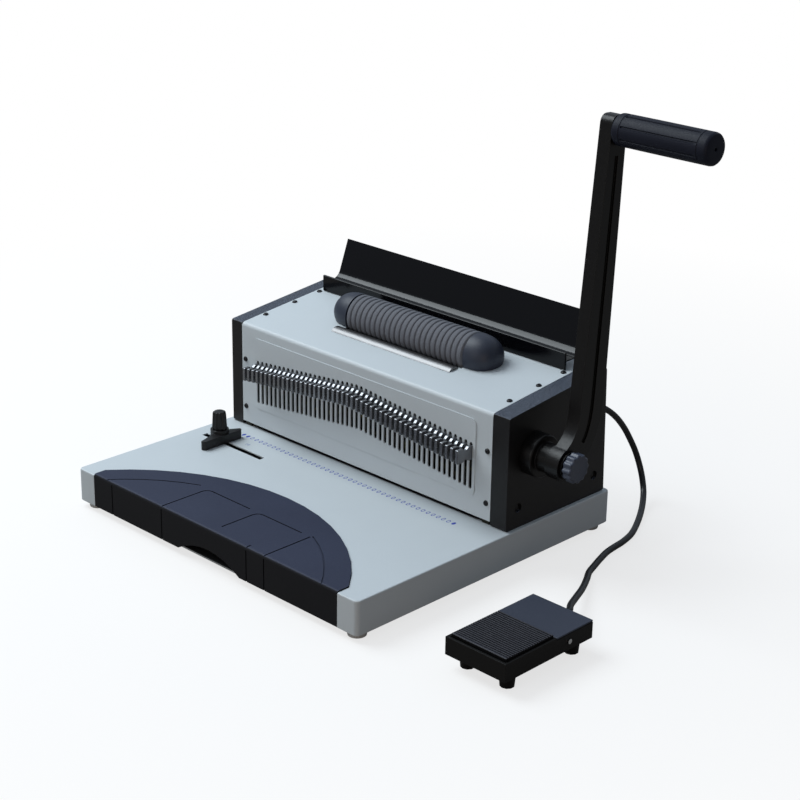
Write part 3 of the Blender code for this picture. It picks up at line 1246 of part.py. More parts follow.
def lever():
    """The lever arm with its clamp knob, grip rod and grip, and the fixed hub round the shaft."""
    axis_point = (0, SHAFT_Y, SHAFT_Z)
    points, centre, (foot, top) = arm_outline()
    arm_inner = ARM_OUTER - ARM_THICKNESS
    arm = outline("lever_arm", [points], "YZ", arm_inner, ARM_OUTER, "gloss_black", axis_point)
    eye = ((EYE_INNER, SHAFT_Y, SHAFT_Z), EYE_THICKNESS, EYE_RADIUS, "X")
    join(arm, rods("lever_eye", [eye], steps=FINE_STEPS))
    bore = ((EYE_INNER - OVERRUN, SHAFT_Y, SHAFT_Z), EYE_THICKNESS + 2 * OVERRUN, SHAFT_RADIUS + GAP, "X")
    cut(arm, rods("lever_bore", [bore]))
    hole_start = (arm_inner - OVERRUN, GRIP_Y, GRIP_Z)
    hole = (hole_start, ARM_THICKNESS + 2 * OVERRUN, GRIP_ROD_RADIUS + GAP, "X")
    cut(arm, rods("grip_rod_hole", [hole]))
    run = [tuple(p) for p, _share in centre[3:]] + [tuple(foot + (top - foot) * ARM_GROOVE_END_SHARE)]
    shift = Vector((-ARM_GROOVE / 2, 0))
    groove = strip([tuple(Vector(p) - shift) for p in run], ARM_GROOVE)
    cut(arm, outline("arm_groove", [groove], "YZ", ARM_OUTER - ARM_GROOVE_DEPTH, ARM_OUTER + OVERRUN))

    start = PANEL_RIGHT_X + GAP
    length = EYE_INNER - GAP - start
    profile = [
        (COLLAR_RADIUS, length),
        (COLLAR_RADIUS, HUB_LENGTH),
        (HUB_RADIUS - COVER_BEND / 2, HUB_LENGTH),
        (HUB_RADIUS, HUB_LENGTH - COVER_BEND / 2),
        (HUB_RADIUS, 0),
        (SHAFT_RADIUS + RUNNING_GAP, 0),
        (SHAFT_RADIUS + RUNNING_GAP, length),
    ]
    turned("shaft_hub", profile, (start, SHAFT_Y, SHAFT_Z), "X", "gloss_black", steps=FINE_STEPS, closed=True)

    washer = [
        (KNOB_RADIUS, KNOB_WASHER),
        (KNOB_RADIUS, 0),
        (KNOB_STUD_RADIUS + GAP, 0),
        (KNOB_STUD_RADIUS + GAP, KNOB_WASHER),
    ]
    seat = ARM_OUTER + GAP
    turned("knob_washer", washer, (seat, SHAFT_Y, SHAFT_Z), "X", "steel", axis_point, closed=True)
    knob_start = seat + KNOB_WASHER + GAP
    count = KNOB_LOBES * 4
    lobes = []
    for i in range(count):
        turn = math.tau * i / count
        radius = KNOB_RADIUS + KNOB_LOBE * math.cos(KNOB_LOBES * turn)
        lobes.append((SHAFT_Y + radius * math.cos(turn), SHAFT_Z + radius * math.sin(turn)))
    knob_end = knob_start + KNOB_LENGTH
    knob = outline("lever_knob", [lobes], "YZ", knob_start, knob_end, "knob_plastic", axis_point, True)
    stud_start = ARM_OUTER - KNOB_STUD
    stud = ((stud_start, SHAFT_Y, SHAFT_Z), knob_start + OVERRUN / 2 - stud_start, KNOB_STUD_RADIUS, "X")
    join(knob, rods("knob_stud", [stud], steps=SMALL_STEPS))

    grip_start = ARM_OUTER + GAP
    radius = GRIP_RADIUS
    neck = radius - GRIP_NECK
    profile = [
        (GRIP_ROD_RADIUS + GAP, GRIP_LENGTH - GRIP_COLLAR),
        (GRIP_HOLE_RADIUS, GRIP_LENGTH - GRIP_COLLAR + GAP),
        (GRIP_HOLE_RADIUS, GRIP_LENGTH),
        (radius - GRIP_ROUND, GRIP_LENGTH),
        (radius - GRIP_ROUND / 4, GRIP_LENGTH - GRIP_ROUND / 2),
        (radius, GRIP_LENGTH - GRIP_ROUND),
        (radius, GRIP_LENGTH - GRIP_COLLAR),
        (neck, GRIP_LENGTH - GRIP_COLLAR - GRIP_NECK),
        (radius, GRIP_LENGTH - GRIP_COLLAR - GRIP_NECK * 2),
        (radius - GRIP_ROUND / 4, GRIP_ROUND / 2),
        (radius - GRIP_ROUND, 0),
        (GRIP_ROD_RADIUS + GAP, 0),
    ]
    grip_point = (grip_start, GRIP_Y, GRIP_Z)
    grip = turned("handle_grip", profile, grip_point, "X", "grip_rubber", axis_point, closed=True)
    channels = bmesh.new()
    for i in range(GRIP_GROOVES):
        low = (grip_start + GRIP_COLLAR, radius - GROOVE_DEPTH, -GROOVE_WIDTH / 2)
        high = (grip_start + GRIP_LENGTH - GRIP_COLLAR - GRIP_ROUND * 1.5, radius + OVERRUN, GROOVE_WIDTH / 2)
        fresh = add_box(channels, low, high)
        spin = Matrix.Rotation(math.tau * (i + 0.5) / GRIP_GROOVES, 4, "X")
        bmesh.ops.transform(channels, matrix=Matrix.Translation((0, GRIP_Y, GRIP_Z)) @ spin, verts=fresh)
    cut(grip, place("grip_channels", mesh_from("grip_channels", channels)))
    rod_start = ARM_OUTER - ARM_THICKNESS
    rod = ((rod_start, GRIP_Y, GRIP_Z), ARM_THICKNESS + GRIP_LENGTH - GRIP_COLLAR, GRIP_ROD_RADIUS, "X")
    rods("grip_rod", [rod], "steel", axis_point)


def coil_tray():
    """The open ended trough for finished coils, on two spacers on the roof."""
    foot = roof(TRAY_FRONT + TRAY_LIP) + GAP
    lip_top = roof(TRAY_FRONT) + TRAY_LIP_HEIGHT
    floor = roof(TRAY_FRONT) + TRAY_FLOOR_RISE
    inner = TRAY_FRONT + TRAY_LIP
    wall_foot = inner + TRAY_FLOOR_DEPTH + TRAY_BEND / 2
    wall_top = (TRAY_FRONT + TRAY_WALL_SETBACK, roof(TRAY_FRONT) + TRAY_WALL_RISE)
    bend = softened([(inner, floor), (wall_foot, floor), wall_top], TRAY_BEND, 5)
    points = [(inner, foot), (TRAY_FRONT, foot), (TRAY_FRONT, lip_top), (inner, lip_top)]
    points += strip(bend, -TRAY_SHEET)
    half = TRAY_WIDTH / 2
    tray = outline("coil_tray", [points], "YZ", -half, half, "gloss_black")
    spacer_y = inner + TRAY_FLOOR_DEPTH * TRAY_SPACER_SHARE
    low = roof(spacer_y + TRAY_SPACER_RADIUS) + GAP
    length = floor - TRAY_SHEET / 2 - low
    bars = [((side * TRAY_SPACER_X, spacer_y, low), length, TRAY_SPACER_RADIUS, "Z") for side in (-1, 1)]
    join(tray, rods("tray_spacers", bars, steps=SMALL_STEPS))


def roller():
    """The ribbed coil roller between its two domed caps, with its belt, pulleys and motor."""
    axis_point = (ROLLER_X, ROLLER_Y, ROLLER_Z)
    pitch = 2 * SLEEVE_HALF / SLEEVE_RIBS
    profile = [(SLEEVE_RADIUS, SLEEVE_HALF)]
    for rib in range(SLEEVE_RIBS - 1):
        at = SLEEVE_HALF - (rib + 1) * pitch
        profile.append((SLEEVE_RADIUS, at + pitch * 0.22))
        profile.append((SLEEVE_RADIUS - SLEEVE_GROOVE, at))
    profile += [(SLEEVE_RADIUS, -SLEEVE_HALF)]
    inner = ROLLER_SHAFT_RADIUS + GAP
    profile += [(inner, -SLEEVE_HALF), (inner, SLEEVE_HALF)]
    turned("ribbed_sleeve", profile, axis_point, "X", "grey_rubber", axis_point, closed=True)
    reach = BELT_X + BELT_WIDTH
    bar = ((ROLLER_X - reach, ROLLER_Y, ROLLER_Z), 2 * reach, ROLLER_SHAFT_RADIUS, "X")
    shaft = rods("roller_shaft", [bar], "steel", axis_point)

    inner_face = SLEEVE_HALF + GAP * 2
    web_start = inner_face + CAP_WEB_OFFSET
    tall = CAP_RADIUS + OVERRUN
    below = [
        (ROLLER_Y - tall, roof(ROLLER_Y - tall) + GAP),
        (ROLLER_Y - tall, ROLLER_Z - tall - OVERRUN),
        (ROLLER_Y + tall, ROLLER_Z - tall - OVERRUN),
        (ROLLER_Y + tall, roof(ROLLER_Y + tall) + GAP),
    ]
    bore_length = CAP_LENGTH - CAP_WALL * 3
    for name, side in (("left_roller_cap", -1), ("right_roller_cap", 1)):
        domes = []
        for length, radius in ((CAP_LENGTH, CAP_RADIUS), (CAP_LENGTH - CAP_WALL, CAP_RADIUS - CAP_WALL)):
            shape = bmesh.new()
            centre = Matrix.Translation((ROLLER_X + side * inner_face, ROLLER_Y, ROLLER_Z))
            onto = centre @ AXIS_TURN["X"] @ Matrix.Diagonal((radius, radius, length, 1))
            bmesh.ops.create_uvsphere(
                shape, u_segments=ROUND_STEPS, v_segments=CAP_STEPS, radius=1, matrix=onto
            )
            domes.append(mesh_from(name, shape))
        cap = place(name, domes[0], "black_plastic", smooth=True)
        core = place(f"{name}_core", domes[1])
        far = sorted(ROLLER_X + side * reach for reach in (inner_face, inner_face - CAP_LENGTH - OVERRUN))
        low_corner = (far[0], ROLLER_Y - tall, ROLLER_Z - tall)
        cut(cap, boxes(f"{name}_open_end", [(low_corner, (far[1], ROLLER_Y + tall, ROLLER_Z + tall))]))
        web = sorted(ROLLER_X + side * reach for reach in (web_start, web_start + CAP_WEB))
        low_corner = (web[0], ROLLER_Y - CAP_RADIUS, ROLLER_Z - CAP_RADIUS)
        high_corner = (web[1], ROLLER_Y + CAP_RADIUS, ROLLER_Z + CAP_RADIUS)
        cut(core, boxes(f"{name}_web", [(low_corner, high_corner)]))
        cut(cap, core)
        past = inner_face + CAP_LENGTH + OVERRUN
        span = sorted(ROLLER_X + side * reach for reach in (inner_face - OVERRUN, past))
        cut(cap, outline(f"{name}_roof", [below], "YZ", span[0], span[1]))
        start = ROLLER_X + min(side * (inner_face - OVERRUN), side * (inner_face + bore_length))
        bore = ((start, ROLLER_Y, ROLLER_Z), bore_length + OVERRUN, ROLLER_BUSH_RADIUS + GAP, "X")
        cut(cap, rods(f"{name}_bore", [bore]))
    ring = [
        (ROLLER_BUSH_RADIUS, CAP_WEB),
        (ROLLER_BUSH_RADIUS, 0),
        (ROLLER_SHAFT_RADIUS + RUNNING_GAP, 0),
        (ROLLER_SHAFT_RADIUS + RUNNING_GAP, CAP_WEB),
    ]
    for name, start in (("left_roller_bush", -web_start - CAP_WEB), ("right_roller_bush", web_start)):
        turned(name, ring, (ROLLER_X + start, ROLLER_Y, ROLLER_Z), "X", "brass", closed=True)

    left = ROLLER_X - BELT_X - BELT_WIDTH / 2
    flange = BELT_WIDTH + GAP * 2
    wheel = ((left - GAP, ROLLER_Y, ROLLER_Z), flange, ROLLER_PULLEY_RADIUS, "X")
    join(shaft, rods("roller_pulley", [wheel]))
    motor_axis = (0, MOTOR_Y, MOTOR_Z)
    plate_start = ROLLER_X - MOTOR_PLATE_X
    body_start = plate_start + MOTOR_PLATE + GAP
    rotor_start = left - GAP
    rotor_length = body_start + MOTOR_LENGTH / 2 - rotor_start
    bar = ((rotor_start, MOTOR_Y, MOTOR_Z), rotor_length, MOTOR_SHAFT_RADIUS, "X")
    rotor = rods("motor_pulley", [bar], "brass", motor_axis)
    join(rotor, rods("motor_wheel", [((left - GAP, MOTOR_Y, MOTOR_Z), flange, MOTOR_PULLEY_RADIUS, "X")]))
    drum = ((body_start, MOTOR_Y, MOTOR_Z), MOTOR_LENGTH, MOTOR_RADIUS, "X")
    case = rods("roller_motor", [drum], "copper_motor")
    room = MOTOR_SHAFT_RADIUS + RUNNING_GAP
    bore = ((body_start - OVERRUN, MOTOR_Y, MOTOR_Z), OVERRUN + MOTOR_LENGTH / 2 + GAP, room, "X")
    cut(case, rods("motor_bore", [bore], steps=SMALL_STEPS))
    reach = MOTOR_RADIUS + MOTOR_PLATE_MARGIN
    plate_low = (MOTOR_Y - reach, BASE_TOP + GAP)
    plate = rectangle(plate_low, (MOTOR_Y + reach, MOTOR_Z + reach), MOTOR_PLATE_MARGIN)
    hole = circle((MOTOR_Y, MOTOR_Z), MOTOR_PULLEY_RADIUS, SMALL_STEPS)
    outline("motor_plate", [plate, hole], "YZ", plate_start, plate_start + MOTOR_PLATE, "steel")

    first, second = Vector((ROLLER_Y, ROLLER_Z)), Vector((MOTOR_Y, MOTOR_Z))
    run = second - first
    heading = math.atan2(run.y, run.x)
    loops = []
    for grow in (GAP + BELT_THICKNESS, GAP):
        big, little = ROLLER_PULLEY_RADIUS + grow, MOTOR_PULLEY_RADIUS + grow
        open_angle = math.acos((big - little) / run.length)
        loop = arc(first, big, heading + open_angle, heading + math.tau - open_angle, 16)
        loop += arc(second, little, heading - open_angle, heading + open_angle, 10)
        loops.append(loop)
    outline("drive_belt", loops, "YZ", left, left + BELT_WIDTH, "cord_rubber")

    low = roof(GUARD_FRONT) + GAP
    slope = ROOF_RISE_SHARE * GUARD_WIDTH
    crown = []
    for i in range(7):
        share = i / 6
        lift = GUARD_HEIGHT * math.sin(math.pi * share) ** 0.6 if 0 < i < 6 else 0
        crown.append((GUARD_FRONT + GUARD_WIDTH * share, low + slope * share + lift))
    outline("coil_guard", [crown[::-1]], "YZ", -GUARD_HALF, GUARD_HALF, "chrome", smooth=True)


def rear_fittings():
    """The power inlet, the rocker switch and the cord gland on the rear wall."""
    wall = HOUSING_DEPTH
    middle = BASE_TOP + INLET_HEIGHT
    wide, tall = INLET_WIDTH / 2, INLET_TALL / 2
    inlet_low = (INLET_X - wide, wall - INLET_DEPTH, middle - tall)
    inlet_high = (INLET_X + wide, wall + GAP * 2, middle + tall)
    body = boxes("power_inlet", [(inlet_low, inlet_high)], "black_plastic")
    rim = INLET_FLANGE
    flange = (
        (INLET_X - wide - rim, wall + GAP, middle - tall - rim),
        (INLET_X + wide + rim, wall + GAP + SHEET, middle + tall + rim),
    )
    join(body, boxes("inlet_flange", [flange]))
    thin = INLET_WALL
    recess = (
        (INLET_X - wide + thin, wall - INLET_DEPTH + thin, middle - tall + thin),
        (INLET_X + wide - thin, wall + OVERRUN, middle + tall - thin),
    )
    cut(body, boxes("inlet_recess", [recess]))
    blades = []
    for step in (-1, 0, 1):
        x = INLET_X + step * BLADE_SPACING
        z = middle + (BLADE_TALL / 2 if step == 0 else -BLADE_TALL / 4)
        half = BLADE_WIDTH / 2
        low = (x - half, wall - INLET_DEPTH + thin / 2, z - BLADE_TALL / 2)
        blades.append((low, (x + half, wall - thin, z + BLADE_TALL / 2)))
    join(body, boxes("inlet_blades", blades))

    wide, tall = SWITCH_WIDTH / 2, SWITCH_TALL / 2
    case_low = (SWITCH_X - wide, wall - SWITCH_DEPTH, middle - tall)
    case_high = (SWITCH_X + wide, wall + GAP * 2, middle + tall)
    case = boxes("switch_case", [(case_low, case_high)], "black_plastic")
    rim = SWITCH_RIM
    bezel = (
        (SWITCH_X - wide - rim, wall + GAP, middle - tall - rim),
        (SWITCH_X + wide + rim, wall + GAP + SHEET, middle + tall + rim),
    )
    join(case, boxes("switch_bezel", [bezel]))
    thin = SWITCH_RIM
    depth = wall - SWITCH_DEPTH + thin
    pocket = (
        (SWITCH_X - wide + thin, depth, middle - tall + thin),
        (SWITCH_X + wide - thin, wall + OVERRUN, middle + tall - thin),
    )
    cut(case, boxes("switch_pocket", [pocket]))
    pivot = (SWITCH_X, wall - SWITCH_RIM, middle)
    face = wall + GAP + SHEET + ROCKER_PROUD
    half_tall = tall - thin - GAP * 2
    sink = half_tall * math.tan(SWITCH_ANGLE)
    low_edge = pivot[1] - ROCKER_PROUD
    room = half_tall - (face - pivot[1]) * math.tan(SWITCH_ANGLE) - GAP
    key = [
        (low_edge, middle - room),
        (low_edge, middle + room),
        (face - sink, middle + room),
        (face - sink * 2.2, middle),
        (face - sink, middle - room),
    ]
    inside = wide - thin - GAP
    span = (SWITCH_X - inside, SWITCH_X + inside)
    rocker = outline("power_rocker", [key[::-1]], "YZ", span[0], span[1], "black_plastic", pivot)
    rocker.rotation_euler.x = -SWITCH_ANGLE

    z = BASE_TOP + GLAND_HEIGHT
    neck = CORD_RADIUS + GLAND_FLANGE / 2
    profile = [
        (0, GLAND_LENGTH),
        (CORD_RADIUS + GAP * 4, GLAND_LENGTH),
        (neck, GLAND_FLANGE * 2),
        (GLAND_RADIUS, GLAND_FLANGE),
        (GLAND_RADIUS, GAP),
        (neck - GAP, GAP),
        (neck - GAP, -SHEET - GLAND_FLANGE),
        (0, -SHEET - GLAND_FLANGE),
    ]
    turned("cord_gland", profile, (GLAND_X, wall, z), "Y", "black_plastic")


def side_stop():
    """The side stop on its rail, and its clamp knob."""
    low = BASE_TOP + GAP
    front = SLOT_Y - STOP_FRONT
    rear = SLOT_Y + STOP_REAR
    thick = STOP_LIMB
    hub = STOP_HUB_RADIUS
    limbs = [
        (STOP_FACE, front + thick / 2),
        (STOP_FACE, rear - thick / 2),
        (STOP_FACE - thick / 2, rear),
        (STOP_FACE - thick, rear),
        (STOP_X, SLOT_Y + hub),
        (STOP_X, SLOT_Y - hub),
        (STOP_FACE - thick, front),
        (STOP_FACE - thick / 2, front),
    ]
    pivot = (STOP_X, SLOT_Y, BASE_TOP)
    stop = outline("side_stop", [limbs], "XY", low, low + STOP_LIMB_HEIGHT, "black_plastic", pivot)
    join(stop, rods("stop_hub", [((STOP_X, SLOT_Y, low), STOP_HUB_HEIGHT, hub, "Z")]))
    key_half = STOP_SLOT_WIDTH / 2 - GAP
    key_low = (STOP_X - STOP_KEY, SLOT_Y - key_half, BASE_TOP - SHEET)
    key = (key_low, (STOP_X + STOP_KEY, SLOT_Y + key_half, low + hub / 2))
    join(stop, boxes("stop_key", [key]))
    bore_length = OVERRUN + GAP + STOP_HUB_HEIGHT + OVERRUN
    bore = ((STOP_X, SLOT_Y, BASE_TOP - OVERRUN), bore_length, STOP_STUD_RADIUS + GAP, "Z")
    cut(stop, rods("stop_bore", [bore], steps=SMALL_STEPS))
    nut_top = BASE_TOP - SHEET - GAP
    nut_low = nut_top - STOP_NUT_THICKNESS
    square = rectangle((STOP_X - STOP_NUT, SLOT_Y - STOP_NUT), (STOP_X + STOP_NUT, SLOT_Y + STOP_NUT))
    hole = circle((STOP_X, SLOT_Y), STOP_STUD_RADIUS + GAP, SMALL_STEPS)
    outline("stop_nut", [square, hole], "XY", nut_low, nut_top, "steel", pivot)

    knob_low = low + STOP_HUB_HEIGHT + GAP
    shape = bmesh.new()
    flutes = STOP_KNOB_FLUTES * 4
    rings = []
    for radius, height in (
        (STOP_KNOB_RADIUS, 0),
        (STOP_KNOB_TOP, STOP_KNOB_HEIGHT - GRIP_NECK * 3),
        (STOP_KNOB_TOP - GRIP_NECK * 3, STOP_KNOB_HEIGHT),
    ):
        ring = []
        for i in range(flutes):
            turn = math.tau * i / flutes
            reach = radius * (1 - STOP_FLUTE_SHARE * (i % 4 == 0))
            x, y = STOP_X + reach * math.cos(turn), SLOT_Y + reach * math.sin(turn)
            ring.append(shape.verts.new((x, y, knob_low + height)))
        rings.append(ring)
    loops = [[shape.edges.new((ring[i], ring[(i + 1) % flutes])) for i in range(flutes)] for ring in rings]
    for lower, upper in zip(loops, loops[1:]):
        bmesh.ops.bridge_loops(shape, edges=lower + upper)
    for ring in (rings[0], rings[-1]):
        shape.faces.new(ring)
    bmesh.ops.recalc_face_normals(shape, faces=shape.faces[:])
    knob = place("stop_knob", mesh_from("stop_knob", shape), "black_plastic", pivot)
    stud_low = nut_low - GAP
    stud = ((STOP_X, SLOT_Y, stud_low), knob_low + STOP_KNOB_HEIGHT / 2 - stud_low, STOP_STUD_RADIUS, "Z")
    join(knob, rods("stop_stud", [stud], steps=SMALL_STEPS))

    half = STOP_RAIL_WIDTH / 2
    wall = STOP_RAIL_WALL
    top = BASE_TOP - SHEET - GAP
    bottom = top - STOP_RAIL_DEPTH
    channel = [
        (SLOT_Y - half, top),
        (SLOT_Y - half, bottom),
        (SLOT_Y + half, bottom),
        (SLOT_Y + half, top),
        (SLOT_Y + half - wall, top),
        (SLOT_Y + half - wall, bottom + wall),
        (SLOT_Y - half + wall, bottom + wall),
        (SLOT_Y - half + wall, top),
    ]
    margin = STOP_RAIL_MARGIN
    outline("stop_rail", [channel], "YZ", SLOT_LEFT - margin, SLOT_RIGHT + margin, "steel")


def pedal():
    """The foot pedal: its box, rear cover, ribbed treadle on a pin, spring, switch, feet and gland."""
    half = PEDAL_WIDTH / 2
    front = PEDAL_Y - PEDAL_LENGTH / 2
    rear = PEDAL_REAR_Y
    low = PEDAL_FOOT
    split = PEDAL_Y + PEDAL_SPLIT
    side = [(front, low), (rear, low), (rear, PEDAL_REAR_HEIGHT), (split, PEDAL_REAR_HEIGHT)]
    side += [(split, PEDAL_FRONT_HEIGHT), (front, PEDAL_FRONT_HEIGHT)]
    box = outline("pedal_box", [side], "YZ", PEDAL_X - half, PEDAL_X + half, "pedal_black")
    wall = PEDAL_WALL
    well = (
        (PEDAL_X - half + wall, front + wall, low + PEDAL_FLOOR),
        (PEDAL_X + half - wall, rear - wall, PEDAL_FRONT_HEIGHT + OVERRUN),
    )
    cut(box, boxes("pedal_well", [well]))
    pin_start = (PEDAL_X - half - OVERRUN, PIVOT_Y, PIVOT_HEIGHT)
    pin_hole = (pin_start, PEDAL_WIDTH + 2 * OVERRUN, PIVOT_RADIUS + GAP, "X")
    cut(box, rods("pedal_pin_hole", [pin_hole], steps=SMALL_STEPS))
    gland = bmesh.new()
    gland_at = (PEDAL_X + PEDAL_GLAND_X, rear - wall / 2, PEDAL_GLAND_HEIGHT)
    gland_length = wall / 2 + PEDAL_GLAND_LENGTH
    add_rod(gland, gland_at, gland_length, PEDAL_GLAND_RADIUS, "Y", SMALL_STEPS, CORD_RADIUS + GAP * 4)
    join(box, place("pedal_gland", mesh_from("pedal_gland", gland)))

    cover_low = PEDAL_REAR_HEIGHT + GAP
    cover = (
        (PEDAL_X - half, split + GAP, cover_low),
        (PEDAL_X + half, rear, cover_low + PEDAL_COVER),
    )
    boxes("pedal_rear_cover", [cover], "pedal_slate")

    inner = half - wall - TREADLE_GAP
    top = TREADLE_TOP
    start = front + wall + TREADLE_FRONT_GAP
    end = split - TREADLE_GAP
    pitch = (end - start) / RIB_COUNT
    comb = [(end, top - TREADLE_PLATE), (end, top + RIB_HEIGHT)]
    for rib in range(RIB_COUNT - 1, 0, -1):
        near = start + rib * pitch
        comb += [(near + pitch / 3, top + RIB_HEIGHT), (near, top), (near - pitch / 3, top + RIB_HEIGHT)]
    comb.append((start, top + RIB_HEIGHT))
    comb.append((start, top - TREADLE_PLATE))
    pivot = (PEDAL_X, PIVOT_Y, PIVOT_HEIGHT)
    plate = outline("treadle", [comb], "YZ", PEDAL_X - inner, PEDAL_X + inner, "pedal_black", pivot)
    cheek = [(start, top - TREADLE_PLATE / 2), (start, TREADLE_CHEEK_LOW)]
    cheek += [(PIVOT_Y - PIVOT_BOSS * 3, TREADLE_CHEEK_LOW - TREADLE_CHEEK_DROP)]
    cheek += arc((PIVOT_Y, PIVOT_HEIGHT), PIVOT_BOSS, -math.pi * 0.65, math.pi * 0.5, 8)
    cheek += [(split + TREADLE_FRONT_GAP, PIVOT_HEIGHT + PIVOT_BOSS), (end, top - TREADLE_PLATE / 2)]
    for sign in (-1, 1):
        ends = sorted((PEDAL_X + sign * inner, PEDAL_X + sign * (inner - TREADLE_CHEEK)))
        join(plate, outline(f"treadle_cheek_{sign}", [cheek], "YZ", ends[0], ends[1]))
    bore = ((PEDAL_X - half, PIVOT_Y, PIVOT_HEIGHT), PEDAL_WIDTH, PIVOT_RADIUS + RUNNING_GAP, "X")
    cut(plate, rods("treadle_bore", [bore], steps=SMALL_STEPS))
    proud = PIVOT_PROUD
    pin = ((PEDAL_X - half - proud, PIVOT_Y, PIVOT_HEIGHT), PEDAL_WIDTH + 2 * proud, PIVOT_RADIUS, "X")
    rods("pedal_pin", [pin], "steel", steps=SMALL_STEPS)

    turns = []
    per_turn = 8
    long = PEDAL_SPRING_TURNS * PEDAL_SPRING_PITCH
    for i in range(PEDAL_SPRING_TURNS * per_turn + 1):
        turn = -math.pi / 2 + math.tau * i / per_turn
        x = PEDAL_X - long / 2 + PEDAL_SPRING_PITCH * i / per_turn
        radius = PEDAL_SPRING_RADIUS
        turns.append((x, PIVOT_Y + radius * math.cos(turn), PIVOT_HEIGHT + radius * math.sin(turn)))
    print("pedal spring, least gap between turns", round(PEDAL_SPRING_PITCH - 2 * PEDAL_SPRING_WIRE, 5))
    wire("pedal_spring", turns, PEDAL_SPRING_WIRE, "steel", 1)

    wide, deep, tall = MICROSWITCH
    floor = low + PEDAL_FLOOR + GAP
    y = PEDAL_Y + MICROSWITCH_Y
    case_low = (PEDAL_X - wide / 2, y - deep / 2, floor)
    case_high = (PEDAL_X + wide / 2, y + deep / 2, floor + tall)
    body = boxes("pedal_switch", [(case_low, case_high)], "black_plastic")
    button = ((PEDAL_X, y, floor + tall - PLUNGER_HEIGHT), PLUNGER_HEIGHT * 2, PLUNGER_RADIUS, "Z")
    join(body, rods("plunger", [button], steps=SMALL_STEPS))

    inset = PEDAL_FOOT_INSET
    shape = bmesh.new()
    for x in (PEDAL_X - half + inset, PEDAL_X + half - inset):
        for y in (front + PEDAL_FRONT_FOOT, rear - PEDAL_REAR_FOOT):
            length = low + PEDAL_FLOOR / 2
            wide_end = PEDAL_FOOT_RADIUS + PEDAL_FOOT_TAPER
            add_rod(shape, (x, y, 0), length, PEDAL_FOOT_RADIUS, "Z", SMALL_STEPS, wide_end)
    join(box, place("pedal_feet", mesh_from("pedal_feet", shape)))


def smooth_route(knots):
    """Points at even steps on a Catmull-Rom curve through the knots."""
    knots = [Vector(k) for k in knots]
    ends = [2 * knots[0] - knots[1]] + knots + [2 * knots[-1] - knots[-2]]
    fine = []
    for a, b, c, d in zip(ends, ends[1:], ends[2:], ends[3:]):
        for i in range(20):
            t = i / 20
            bend = (2 * a - 5 * b + 4 * c - d) * t * t
            turn = (3 * b - 3 * c + d - a) * t**3
            fine.append((2 * b + (c - a) * t + bend + turn) / 2)
    fine.append(knots[-1])
    lengths = [0]
    for first, second in zip(fine, fine[1:]):
        lengths.append(lengths[-1] + (second - first).length)
    count = max(round(lengths[-1] / CORD_STEP), 2)
    route = []
    index = 0
    for i in range(count + 1):
        want = lengths[-1] * i / count
        while index < len(fine) - 2 and lengths[index + 1] < want:
            index += 1
        share = (want - lengths[index]) / (lengths[index + 1] - lengths[index])
        route.append(tuple(fine[index].lerp(fine[index + 1], min(share, 1))))
    return route, lengths[-1]


def cord():
    """The cord from the rear wall's gland, down to the table and round to the pedal."""
    exit_point = Vector((GLAND_X, HOUSING_DEPTH + GLAND_LENGTH + GAP, BASE_TOP + GLAND_HEIGHT))
    end_point = Vector((PEDAL_X + PEDAL_GLAND_X, PEDAL_REAR_Y + PEDAL_GLAND_LENGTH + GAP, PEDAL_GLAND_HEIGHT))
    ahead = Vector((0, CORD_RADIUS * 2, 0))
    route, length = smooth_route([exit_point + ahead] + list(CORD_ROUTE) + [end_point + ahead])
    route = [tuple(exit_point)] + route + [tuple(end_point)]
    print("pedal cord", round(length + 2 * ahead.length, 4), "m,", len(route), "points")
    wire("pedal_cord", route, CORD_RADIUS, "cord_rubber", 2)


base_parts()
housing()
punches()
drive()
lever()
coil_tray()
roller()
rear_fittings()
side_stop()
pedal()
cord()
print("stroke", round(STROKE, 5), "middle", tuple(round(v, 5) for v in MIDDLE))
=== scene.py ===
# %% [markdown]
# This notebook dresses a desk-top coil binding machine. The machine punches a row of holes in a
# stack of paper when its lever is pulled, and a motor roller then winds a plastic coil through
# them while a foot pedal is held down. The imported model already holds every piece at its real
# size, so the work here is to give each piece the rounding, the finish and the small forms that
# a solid model leaves out.

import math

import bmesh
import bpy
from mathutils import Matrix, Vector


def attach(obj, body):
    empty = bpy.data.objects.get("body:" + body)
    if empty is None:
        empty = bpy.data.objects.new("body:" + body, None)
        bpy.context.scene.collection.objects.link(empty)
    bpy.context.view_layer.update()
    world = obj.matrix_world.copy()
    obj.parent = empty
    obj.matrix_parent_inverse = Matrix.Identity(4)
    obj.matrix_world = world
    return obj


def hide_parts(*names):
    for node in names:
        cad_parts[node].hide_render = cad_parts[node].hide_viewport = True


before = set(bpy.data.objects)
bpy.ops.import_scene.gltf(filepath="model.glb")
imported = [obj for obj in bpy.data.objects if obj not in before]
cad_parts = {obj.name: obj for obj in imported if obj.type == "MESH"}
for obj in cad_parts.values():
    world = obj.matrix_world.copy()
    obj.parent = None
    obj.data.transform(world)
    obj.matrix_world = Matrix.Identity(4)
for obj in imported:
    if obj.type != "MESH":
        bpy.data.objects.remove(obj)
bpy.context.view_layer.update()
print("pieces in the packed machine:", len(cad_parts))

# %% [markdown]
# All sizes below are metres on the machine's own drawing: X along the row of punches from its
# middle, Y from the front of the cover towards the rear, Z up from the table. The record keeps
# its origin in the middle of the whole outfit, so one shift brings a finished mesh there.
# A seated piece stands off what carries it by the seat gap, and a hair is the margin when
# places are compared.

